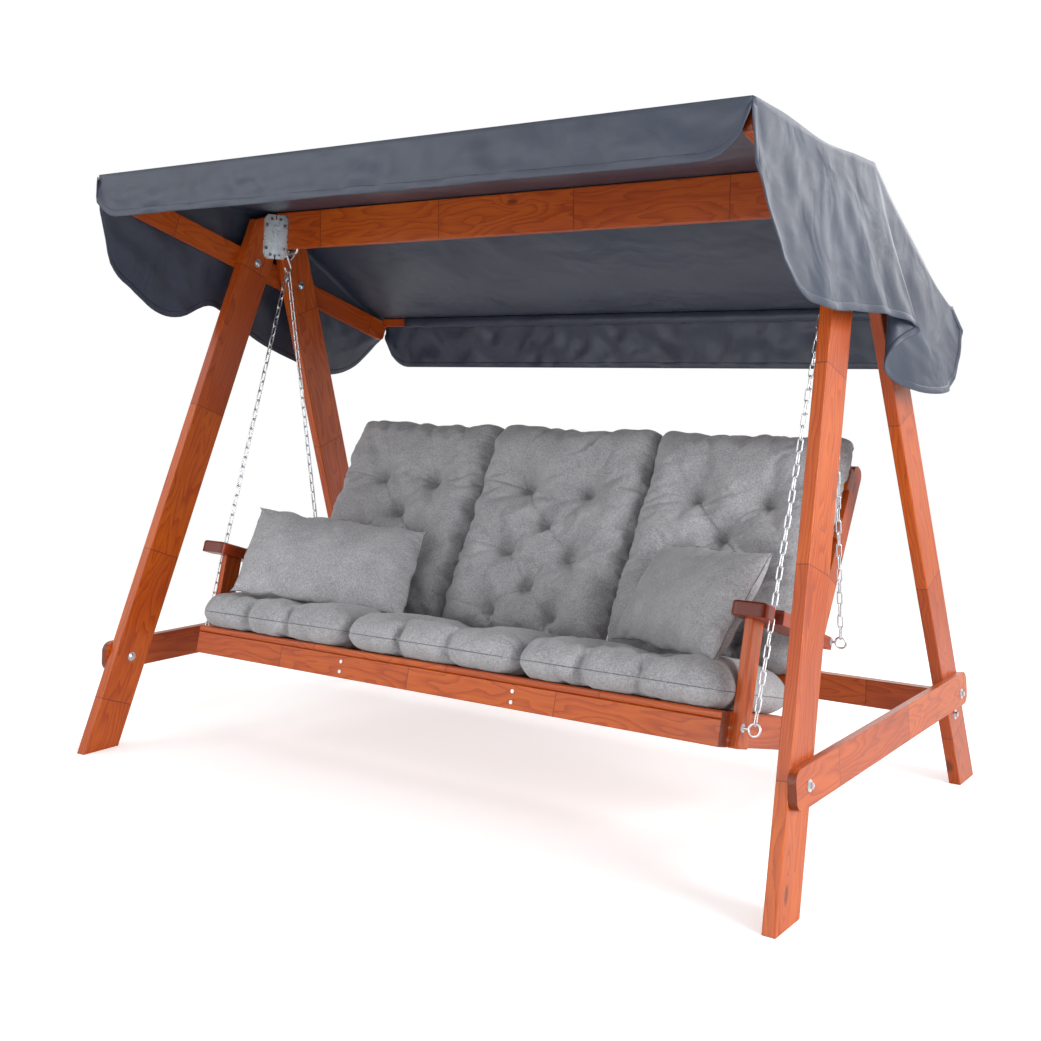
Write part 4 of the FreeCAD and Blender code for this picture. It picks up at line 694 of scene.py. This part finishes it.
def fillShell(piece, group, points, cfg):
    cloth = piece.modifiers.new("filling", "CLOTH")
    settings = cloth.settings
    settings.quality = cfg["quality"]
    settings.mass = cfg["mass"]
    settings.tension_stiffness = fillingSet["tension"]
    settings.compression_stiffness = fillingSet["compression"]
    settings.shear_stiffness = fillingSet["shear"]
    settings.bending_stiffness = cfg["bending"]
    settings.use_pressure = True
    settings.uniform_pressure_force = cfg["pressure"]
    settings.shrink_min = -cfg["spareCloth"]
    settings.vertex_group_mass = group.name
    settings.effector_weights.gravity = 0
    cloth.collision_settings.use_collision = False
    cloth.point_cache.frame_start = 1
    cloth.point_cache.frame_end = cfg["frames"]
    for step in range(1, cfg["frames"] + 1):
        scene.frame_set(step)
    filled = bakedMesh(piece)
    after = readPoints(filled)
    bpy.data.meshes.remove(filled)
    scene.frame_set(1)
    travel = after - points
    far = np.linalg.norm(travel, axis=1)
    share = np.minimum(1.0, cfg["cap"] / np.maximum(far, 1e-9))
    return points + travel * share[:, None]


def fitShell(points, cfg):
    # back to the stated size, with the underside flattened on what carries it
    fitted = points.copy()
    for axis, length in ((0, cfg["wide"]), (1, cfg["tall"])):
        low, high = np.percentile(fitted[:, axis], (cfg["edgeShare"], 100 - cfg["edgeShare"]))
        fitted[:, axis] = (fitted[:, axis] - (low + high) / 2) * length / (high - low)
        most = length / 2 + cfg["edgeRoom"]
        fitted[:, axis] = np.clip(fitted[:, axis], -most, most)
    z = fitted[:, 2]
    z[z < 0] *= cfg["underFlat"]
    low = np.percentile(z, cfg["restShare"])
    z[z < low] = low + (z[z < low] - low) * 0.05
    z -= z.min()
    z *= cfg["thick"] / np.percentile(z, cfg["fullShare"])
    over = np.maximum(z - cfg["thick"], 0)
    z -= over * 0.6
    return fitted


def creaseLines(cfg, crease):
    # creases: stars at the tufts, lines that join tufts, pleats along the sides
    rng = np.random.default_rng(cfg["seed"] + 90)
    spots = np.array([(sx * cfg["wide"], sy * cfg["tall"]) for sx, sy in cfg["tufts"]]).reshape(-1, 2)
    lines = []  # start, end, depth, width and how much of the depth is lost by the end
    for k, spot in enumerate(spots):
        turn = rng.uniform(0, 2 * math.pi)
        rays = cfg["starRays"]
        for ray in range(rays):
            angle = turn + 2 * math.pi * (ray + rng.uniform(-0.3, 0.3)) / rays
            long = rng.uniform(*crease["starLong"])
            tip = spot + long * np.array((math.cos(angle), math.sin(angle)))
            lines.append((spot, tip, rng.uniform(*crease["starDeep"]), crease["starWide"], 1.0))
        for other in spots[k + 1:]:
            far = np.linalg.norm(other - spot)
            if far < cfg["joinWithin"] and abs(other[0] - spot[0]) > 0.03:
                bent = (spot + other) / 2 + rng.uniform(-crease["joinBend"], crease["joinBend"], 2)
                for end in (spot, other):
                    lines.append((end, bent, crease["joinDeep"], crease["joinWide"], crease["joinFade"]))
    for side in (-1, 1):
        place = -0.46 * cfg["tall"]
        while place < 0.46 * cfg["tall"]:
            start = np.array((side * (cfg["wide"] / 2 - 0.002), place))
            run = (-side * rng.uniform(*crease["pleatLong"]), rng.uniform(-crease["pleatSlant"], crease["pleatSlant"]))
            end = start + np.array(run)
            lines.append((start, end, rng.uniform(*crease["pleatDeep"]), crease["pleatWide"], 1.0))
            place += rng.uniform(*crease["pleatEvery"])
    for up, share in cfg["sideCreases"]:
        start = np.array((-cfg["wide"] / 2 + 0.004, (up + 0.012) * cfg["tall"]))
        end = np.array((share * cfg["wide"], up * cfg["tall"]))
        lines.append((end, start, crease["sideDeep"], crease["joinWide"], crease["joinFade"]))
    return lines


def pressCreases(points, cfg, middleShare=0.45):
    # sink the upper face along each line, deepest at its start
    face = points[:, 2] > middleShare * points[:, 2].max()
    flat = points[face][:, :2]
    sink = np.zeros(len(flat))
    for start, end, deep, width, fade in creaseLines(cfg, creaseSet):
        run = end - start
        t = np.clip(((flat - start) @ run) / (run @ run), 0, 1)
        away = np.linalg.norm(flat - start - t[:, None] * run, axis=1)
        depth = deep * (1 - fade * t ** 1.5)
        lip = 0.3 * depth * np.exp(-((away - 2.4 * width) / width) ** 2)
        sink = np.maximum(sink, depth * np.exp(-(away / width) ** 2) - lip)
    points[face, 2] -= sink
    return points


def setPoints(piece, points):
    piece.data.vertices.foreach_set("co", np.asarray(points, np.float32).ravel())
    piece.data.update()


def finishStuffed(piece, points, loop, place, node, cfg):
    points = fitShell(points, cfg)
    seamPath = place(points[loop])
    setPoints(piece, points)
    finer = piece.modifiers.new("finer", "SUBSURF")
    finer.levels = 1
    finer.render_levels = 1
    mesh = bakedMesh(piece)
    piece.vertex_groups.clear()
    piece.data = mesh
    smoothFaces(mesh)
    points = readPoints(mesh)
    points = pressCreases(points, cfg)
    setPoints(piece, place(points))
    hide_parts(node)
    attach(piece, "swing")
    seam = addTube(f"{piece.name}Seam", seamPath, seamRadius, cushionSeam, 6, True)
    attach(seam, "swing")


cushionCloth = melangeCloth("cushionCloth", cushionClothSet)
seamColours = {"pale": tint(120, 120, 124), "middle": tint(104, 104, 108), "dark": tint(88, 88, 92)}
cushionSeam = melangeCloth("cushionSeam", {**cushionClothSet, **seamColours})
seamRadius = 0.0011
cushionPitch = 0.577

seatCushionSet = {
    "wide": 0.575, "tall": 0.46, "thick": 0.122, "across": 88, "along": 72,
    "endRound": 0.05, "cornerPull": 0.09, "cornerPower": 5, "rimPower": 1.0,
    "startShare": 0.95, "underShare": 0.9, "crown": 0.06, "underFlat": 0.8, "fill": 0.7,
    "tufts": ((-0.17, -0.24), (0.12, -0.24), (0.0, 0.0), (-0.17, 0.27), (0.17, 0.27)),
    "tuftWide": 0.026, "tuftPin": 0.006, "tuftHalf": 0.016, "gatherEvery": 0.0,
    "pinches": ((-0.17, -0.5, 0.026), (0.12, -0.5, 0.016), (-0.17, 0.5, 0.02), (0.17, 0.5, 0.02)), "pinchWide": 0.018,
    "seed": 11, "quality": 5, "mass": 0.0015, "pressure": 10.0, "spareCloth": 0.05, "bending": 0.02,
    "frames": 16, "cap": 0.035,
    "edgeShare": 0.6, "edgeRoom": 0.004, "restShare": 22, "fullShare": 96,
    "starRays": 7, "joinWithin": 0.0, "sideCreases": (),
}
backCushionSet = {
    "wide": 0.575, "tall": 0.68, "thick": 0.106, "across": 88, "along": 104,
    "endRound": 0.045, "cornerPull": 0.035, "cornerPower": 8, "rimPower": 1.0,
    "startShare": 0.95, "underShare": 0.5, "crown": 0.05, "underFlat": 0.3, "fill": 0.7,
    "tufts": ((-0.184, -0.42), (0.184, -0.42), (0.0, -0.287), (-0.184, -0.13), (0.184, -0.13),
              (0.0, 0.007), (-0.184, 0.175), (0.184, 0.175)),
    "tuftWide": 0.022, "tuftPin": 0.006, "tuftHalf": 0.006, "gatherEvery": 0.052,
    "pinches": (), "pinchWide": 0.02,
    "seed": 31, "quality": 5, "mass": 0.0015, "pressure": 10.0, "spareCloth": 0.06, "bending": 0.02,
    "frames": 16, "cap": 0.035,
    "edgeShare": 0.6, "edgeRoom": 0.004, "restShare": 30, "fullShare": 97,
    "starRays": 8, "joinWithin": 0.17, "sideCreases": ((0.175, -0.2), (-0.13, -0.2), (-0.42, -0.2)),
}
pillowSet = {
    "wide": 0.525, "tall": 0.30, "thick": 0.124, "across": 76, "along": 46,
    "endRound": 0.13, "cornerPull": -0.03, "cornerPower": 6, "rimPower": 0.62,
    "startShare": 0.95, "underShare": 1.0, "crown": 0.1, "underFlat": 1.0, "fill": 0.75,
    "tufts": (), "tuftWide": 0.03, "tuftPin": 0.004, "tuftHalf": 0.01, "gatherEvery": 0.075,
    "pinches": (), "pinchWide": 0.02,
    "seed": 51, "quality": 5, "mass": 0.0015, "pressure": 8.0, "spareCloth": 0.015, "bending": 0.05,
    "frames": 12, "cap": 0.03,
    "edgeShare": 0.3, "edgeRoom": 0.006, "restShare": 0, "fullShare": 99.8,
    "starRays": 0, "joinWithin": 0.0, "sideCreases": (),
}

for number, (sideName, step) in enumerate((("left", -1), ("middle", 0), ("right", 1))):
    middle = step * cushionPitch
    cfg = {**seatCushionSet, "seed": seatCushionSet["seed"] + 5 * number}
    piece, points, loop = stuffedShell(f"{sideName}SeatCushion", cfg, cushionCloth)
    finishStuffed(piece, points, loop, lambda p: ontoBench(p, middle), f"{sideName}_seat_cushion", cfg)
    cfg = {**backCushionSet, "seed": backCushionSet["seed"] + 5 * number}
    piece, points, loop = stuffedShell(f"{sideName}BackCushion", cfg, cushionCloth)
    finishStuffed(piece, points, loop, lambda p: ontoBack(p, middle), f"{sideName}_back_cushion", cfg)
    print("cushions made:", sideName)

pillowPlaces = {
    "left": ((-0.534, -0.226, 0.581), 31.9, 50.2, -8.7),
    "right": ((0.6225, -0.1405, 0.5764), -36.1, 56.5, 5.0),
}
for number, (sideName, (spot, turn, leanBack, roll)) in enumerate(pillowPlaces.items()):
    rotation = Matrix.Rotation(math.radians(turn), 4, "Z") @ Matrix.Rotation(math.radians(leanBack), 4, "X")
    rotation = rotation @ Matrix.Rotation(math.radians(roll), 4, "Z")
    home = Matrix.Translation(spot) @ rotation
    cfg = {**pillowSet, "seed": pillowSet["seed"] + 5 * number}
    piece, points, loop = stuffedShell(f"{sideName}Pillow", cfg, cushionCloth)
    axes = np.array(home.to_3x3()).T
    lower = np.array((0, 0, -cfg["thick"] / 2))
    finishStuffed(piece, points, loop, lambda p: (p + lower) @ axes + spot, f"{sideName}_pillow", cfg)
print("pillows made")


# canopy: one sheet over both rails and the beam, with valances and side flaps

canopySet = {
    "frontY": -0.6612, "rearY": 0.6022,
    "frontRail": (-0.634, 1.6938), "beamHalf": 0.0245, "beamTop": 1.6562, "rearRail": (0.575, 1.3417),
    "frontSag": 0.007, "rearSag": 0.016,
    "sideBase": 1.1520,  # half width at the ground line of the leaning sides
    "thick": 0.0016,
    "frontDrop": 0.122, "frontFlare": 0.014, "frontFold": 0.0065,
    "rearDrop": 0.172, "rearFlare": 0.02, "rearFold": 0.009, "corner": 0.1,
    "columns": 110, "rows": 72, "frontRows": 12, "rearRows": 16,
    "flapRows": 26,
    "lift": 0.0032, "tension": 0.0025, "sway": 0.0045,  # unevenness of the top, its edges and the valances
    "hemWide": 0.017, "hemThick": 0.0012, "sleeveGap": 0.003, "sleeveShort": 0.105,
}


def halfWidth(z):
    return canopySet["sideBase"] - z * math.tan(lean)


def topLevel(y, cfg):
    # height of the cloth from front to rear
    (frontY, frontZ), (rearY, rearZ), half = cfg["frontRail"], cfg["rearRail"], cfg["beamHalf"]
    level = np.interp(y, [cfg["frontY"], frontY, -half, half, rearY, cfg["rearY"]],
                      [frontZ, frontZ, cfg["beamTop"], cfg["beamTop"], rearZ, rearZ])
    for start, end, sag in ((frontY, -half, cfg["frontSag"]), (half, rearY, cfg["rearSag"])):
        share = np.clip((y - start) / (end - start), 0, 1)
        level = level - 4 * sag * share * (1 - share)
    return level


def canopyTop(cfg):
    # rows run from the front hem over the top to the rear hem
    shares = np.linspace(-1, 1, cfg["columns"] + 1)
    rows = []
    for kind, end, fold in (("front", -1, cfg["frontRows"]), ("top", 0, cfg["rows"]), ("rear", 1, cfg["rearRows"])):
        for k in range(fold + (kind == "top")):
            if kind == "top":
                y = cfg["frontY"] + (cfg["rearY"] - cfg["frontY"]) * k / fold
                z = float(topLevel(y, cfg))
                x = shares * halfWidth(z)
                far = min(abs(y - cfg["frontRail"][0]), abs(y - cfg["rearRail"][0]), abs(y))
                free = np.clip(far / 0.12, 0, 1) * (cfg["frontRail"][0] < y < cfg["rearRail"][0])
                lift = cfg["lift"] * free * (ripples(x, y, 5, 9, 0.12, 0.6) - 0.6)
                edges = np.exp(-((np.abs(shares) - 0.93) / 0.12) ** 2)
                tension = cfg["tension"] * free * np.sin(x * 40 + y * 14) * edges
                rows.append(np.stack([x, np.full_like(x, y), z + lift + tension], 1))
                continue
            share = (fold - k) / fold if kind == "front" else (k + 1) / fold
            drop, flare = cfg[f"{kind}Drop"], cfg[f"{kind}Flare"]
            z0 = cfg[f"{kind}Rail"][1]
            half = halfWidth(z0)
            x = shares * half
            room = np.clip((half - np.abs(x)) / cfg["corner"], 0, 1)
            cut = drop - cfg["corner"] * (1 - np.sqrt(np.clip(1 - (1 - room) ** 2, 0, 1)))
            swing = ripples(x, 0.0, 17 + end, 6, 0.18, 0.7)
            pleat = np.abs(ripples(x, share * 0.13, 29 + end, 9, 0.06, 0.2))
            dent = ripples(x, share * 0.13, 47 + end, 6, 0.09, 0.3)
            deep = share * cut / drop
            folds = cfg[f"{kind}Fold"] * (pleat + 0.8 * np.abs(dent)) * np.sin(math.pi * np.minimum(deep * 0.85, 1))
            y = cfg[f"{kind}Y"] + end * (flare * deep ** 1.3 + cfg["sway"] * (swing + 0.9) * deep ** 1.4 + folds)
            z = z0 - cut * share
            rows.append(np.stack([x, y, z], 1))
    return np.array(rows)


# the free edge of each flap from front to rear: place, and how far it stands out; folds have count, size, phase
leftHem = {
    "stops": (0, 0.05, 0.13, 0.22, 0.29, 0.36, 0.41, 0.52, 0.67, 0.83, 0.9, 1),
    "yz": ((-0.64, 1.60), (-0.59, 1.467), (-0.50, 1.384), (-0.39, 1.323), (-0.31, 1.313), (-0.21, 1.352),
           (-0.155, 1.337), (-0.012, 1.262), (0.188, 1.187), (0.399, 1.139), (0.484, 1.159), (0.627, 1.267)),
    "out": (0.02, 0.035, 0.042, 0.05, 0.045, 0.03, 0.03, 0.045, 0.035, 0.052, 0.04, 0.025),
    "folds": ((5, 0.004, 0.4), (9, 0.002, 1.0)), "seed": 71,
}
rightHem = {
    "stops": (0, 0.05, 0.1, 0.17, 0.3, 0.42, 0.5, 0.545, 0.585, 0.64, 0.72, 0.82, 0.91, 1),
    "yz": ((-0.69, 1.56), (-0.64, 1.42), (-0.56, 1.325), (-0.46, 1.292), (-0.25, 1.290), (-0.06, 1.287), (0.06, 1.272),
           (0.085, 1.255), (0.02, 1.225), (0.0, 1.175), (0.10, 1.120), (0.28, 1.106), (0.44, 1.136), (0.60, 1.275)),
    "out": (0.012, 0.03, 0.035, 0.04, 0.05, 0.055, 0.075, 0.07, 0.035, 0.01, 0.03, 0.06, 0.045, 0.025),
    "folds": ((5, 0.007, 2.0), (11, 0.002, 0.3)), "seed": 83,
}


def sideFlap(side, hem, cfg):
    # rows go down from the top edge, each row runs from front to rear
    y = cfg["frontY"] + (cfg["rearY"] - cfg["frontY"]) * np.linspace(0, 1, cfg["rows"] + 1)
    topZ = topLevel(y, cfg)
    shares = np.linspace(0, 1, cfg["rows"] + 1)
    path = throughPoints(hem["stops"], np.array([(*yz, out) for yz, out in zip(hem["yz"], hem["out"])]), shares)
    rows = []
    for k in range(cfg["flapRows"] + 1):
        t = k / cfg["flapRows"]
        rowY = y + (path[:, 0] - y) * t ** 1.15
        rowZ = topZ + (path[:, 1] - topZ) * t
        out = path[:, 2] * t ** 1.3
        for count, size, phase in hem["folds"]:
            fade = np.sin(math.pi * np.clip(shares * 1.02, 0, 1)) ** 0.5
            out = out + size * np.sin(2 * math.pi * count * shares + phase) * t ** 1.6 * fade
        out = out + 0.002 * ripples(rowY, rowZ, hem["seed"], 8, 0.05, 0.2) * min(1, 3 * t)
        x = cfg["sideBase"] - rowZ * math.tan(lean) + out
        rows.append(np.stack([side * x, rowY, rowZ], 1))
    return np.array(rows)


def hemBand(name, edge, inner, cfg, material):
    # the folded and stitched border along a free edge
    edge, inner = np.asarray(edge, float), np.asarray(inner, float)
    along = np.gradient(edge, axis=0)
    inward = inner - edge
    inward /= np.linalg.norm(inward, axis=1)[:, None] + 1e-12
    normal = np.cross(along, inward)
    normal /= np.linalg.norm(normal, axis=1)[:, None] + 1e-12
    h, w = cfg["hemThick"] + cfg["thick"] / 2, cfg["hemWide"]
    section = ((-0.0016, 0.0), (-0.0009, h * 0.8), (0.001, h), (w - 0.002, h), (w, h * 0.5),
               (w, -h * 0.5), (w - 0.002, -h), (0.001, -h), (-0.0009, -h * 0.8))
    points = [edge[k] + inward[k] * a + normal[k] * b for k in range(len(edge)) for a, b in section]
    faces = gridFaces(len(edge), len(section), False, True)
    faces += [tuple(range(len(section)))[::-1], tuple(range(len(points) - len(section), len(points)))]
    band = addPiece(name, points, faces, material)
    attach(band, "frame")
    return band


def railSleeve(name, kind, cfg, material):
    # the cloth pocket a canopy rail is pushed through, short of the rafters
    low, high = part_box(f"{kind}_canopy_rail")
    gap, half, steps = cfg["sleeveGap"], high.x - cfg["sleeveShort"], 60
    points = []
    for k in range(steps + 1):
        x = -half + 2 * half * k / steps
        loose = gap + 0.0012 * math.sin(k * 2.3) + 0.0008 * math.sin(k * 5.1)
        slack = loose if kind == "rear" else 0.0004
        front, rear, bottom, top = low.y - slack, high.y + 0.0006, low.z - loose, high.z + 0.0035
        points += [(x, front, top - 0.003), (x, front, bottom + 0.004), (x, front + 0.004, bottom),
                   (x, rear - 0.004, bottom), (x, rear, bottom + 0.004), (x, rear, top - 0.003)]
    sleeve = addPiece(name, points, gridFaces(steps + 1, 6), material)
    shell = sleeve.modifiers.new("shell", "SOLIDIFY")
    shell.thickness = cfg["hemThick"]
    shell.offset = 1
    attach(sleeve, "frame")
    return sleeve


def makeCanopy(cfg):
    cloth = coatedCloth("canopyCloth", canopyClothSet)
    top = canopyTop(cfg)
    left, right = sideFlap(-1, leftHem, cfg), sideFlap(1, rightHem, cfg)
    topRows = slice(cfg["frontRows"], cfg["frontRows"] + cfg["rows"] + 1)
    left[0] = top[topRows, 0]
    right[0] = top[topRows, -1]
    points, faces = [], []
    for grid, order in ((top, 1), (left, 1), (right, -1)):
        base = len(points)
        rows, cols = grid.shape[:2]
        points += [p for row in grid for p in row]
        faces += [tuple(base + i for i in face[::order]) for face in gridFaces(rows, cols)]
    canopy = addPiece("canopyCloth", points, faces, cloth)
    bpy.context.view_layer.objects.active = canopy
    weld = canopy.modifiers.new("weld", "WELD")
    weld.merge_threshold = 0.0001
    shell = canopy.modifiers.new("shell", "SOLIDIFY")
    shell.thickness = cfg["thick"]
    shell.offset = 0
    mesh = bakedMesh(canopy)
    canopy.data = mesh
    smoothFaces(mesh)
    hems = [hemBand("frontHem", top[0], top[2], cfg, cloth), hemBand("rearHem", top[-1], top[-3], cfg, cloth)]
    for name, flap in (("left", left), ("right", right)):
        hems.append(hemBand(f"{name}FlapHem", flap[-1], flap[-3], cfg, cloth))
        hems.append(hemBand(f"{name}FlapFrontHem", flap[3:, 0], flap[3:, 2], cfg, cloth))
        hems.append(hemBand(f"{name}FlapRearHem", flap[3:, -1], flap[3:, -3], cfg, cloth))
    hems += [railSleeve(f"{kind}Sleeve", kind, cfg, cloth) for kind in ("front", "rear")]
    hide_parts("canopy_front_panel", "canopy_rear_panel", "front_valance", "rear_valance",
                "left_canopy_flap", "right_canopy_flap")
    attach(canopy, "frame")
    flatArea = sum(p.area for p in mesh.polygons) / 2
    print("canopy cloth area", round(flatArea, 3))


makeCanopy(canopySet)
print("canopy made")


# floor, light and background

stageSet = {
    "floor": (0.93, 0.93, 0.93),
    "floorHalf": 14.0,
    "floorGlow": 0.36,  # only as the camera sees it
    "whiteFade": 0.7, "whiteDelay": 1.5,  # the floor turns white from whiteDelay / whiteFade metres
    "world": 0.6,
    "keyPower": 215, "keyPlace": (5.2, -0.8, 2.3), "keySize": 2.4,
    "fillPower": 60, "fillPlace": (-3.4, -4.2, 3.0), "fillSize": 3.2,
    "lowPower": 80, "lowPlace": (0.2, -4.8, 0.9), "lowSize": 3.4,
    "backPower": 90, "backPlace": (0.5, 4.2, 3.4), "backSize": 3.0,
}


def makeStage(cfg):
    material, tree, places = newMaterial("paleFloor")
    _, less, times = sums(tree)
    plain = addNode(tree, "BsdfDiffuse", {"Color": (*cfg["floor"], 1)}).outputs[0]
    glow = addNode(tree, "Emission", {"Strength": cfg["floorGlow"]}).outputs[0]
    near = addNode(tree, "AddShader", {0: plain, 1: glow}).outputs[0]
    away = less(times(vectorNode(tree, "LENGTH", places["Object"]), cfg["whiteFade"]), cfg["whiteDelay"])
    both = mixShaders(tree, between(tree, away, 0.0, 1.0), near, addNode(tree, "Emission", {}).outputs[0])
    seen = addNode(tree, "LightPath", {}).outputs["Is Camera Ray"]
    addNode(tree, "OutputMaterial", {"Surface": mixShaders(tree, seen, plain, both)})
    size = cfg["floorHalf"]
    corners = [(-size, -size, 0), (size, -size, 0), (size, size, 0), (-size, size, 0)]
    floor = addPiece("floor", corners, [(0, 1, 2, 3)], material)
    world = bpy.data.worlds.new("studio")
    scene.world = world
    tree = emptyTree(world)
    soft, white = (addNode(tree, "Background", {"Color": (1, 1, 1, 1), "Strength": strength}).outputs[0]
                   for strength in (cfg["world"], 1.0))
    path = addNode(tree, "LightPath", {}).outputs
    seen = mathNode(tree, "MAXIMUM", path["Is Camera Ray"], path["Is Glossy Ray"])
    addNode(tree, "OutputWorld", {"Surface": mixShaders(tree, seen, soft, white)})
    for name in ("key", "fill", "low", "back"):
        data = bpy.data.lights.new(name, "AREA")
        data.energy = cfg[f"{name}Power"]
        data.size = cfg[f"{name}Size"]
        lamp = bpy.data.objects.new(name, data)
        place = Vector(cfg[f"{name}Place"])
        lamp.location = place
        lamp.rotation_mode = "QUATERNION"
        lamp.rotation_quaternion = (Vector((0, 0, 0.8)) - place).to_track_quat("-Z", "Y")
        scene.collection.objects.link(lamp)


makeStage(stageSet)
scene.view_settings.view_transform = "Standard"
print("stage set")
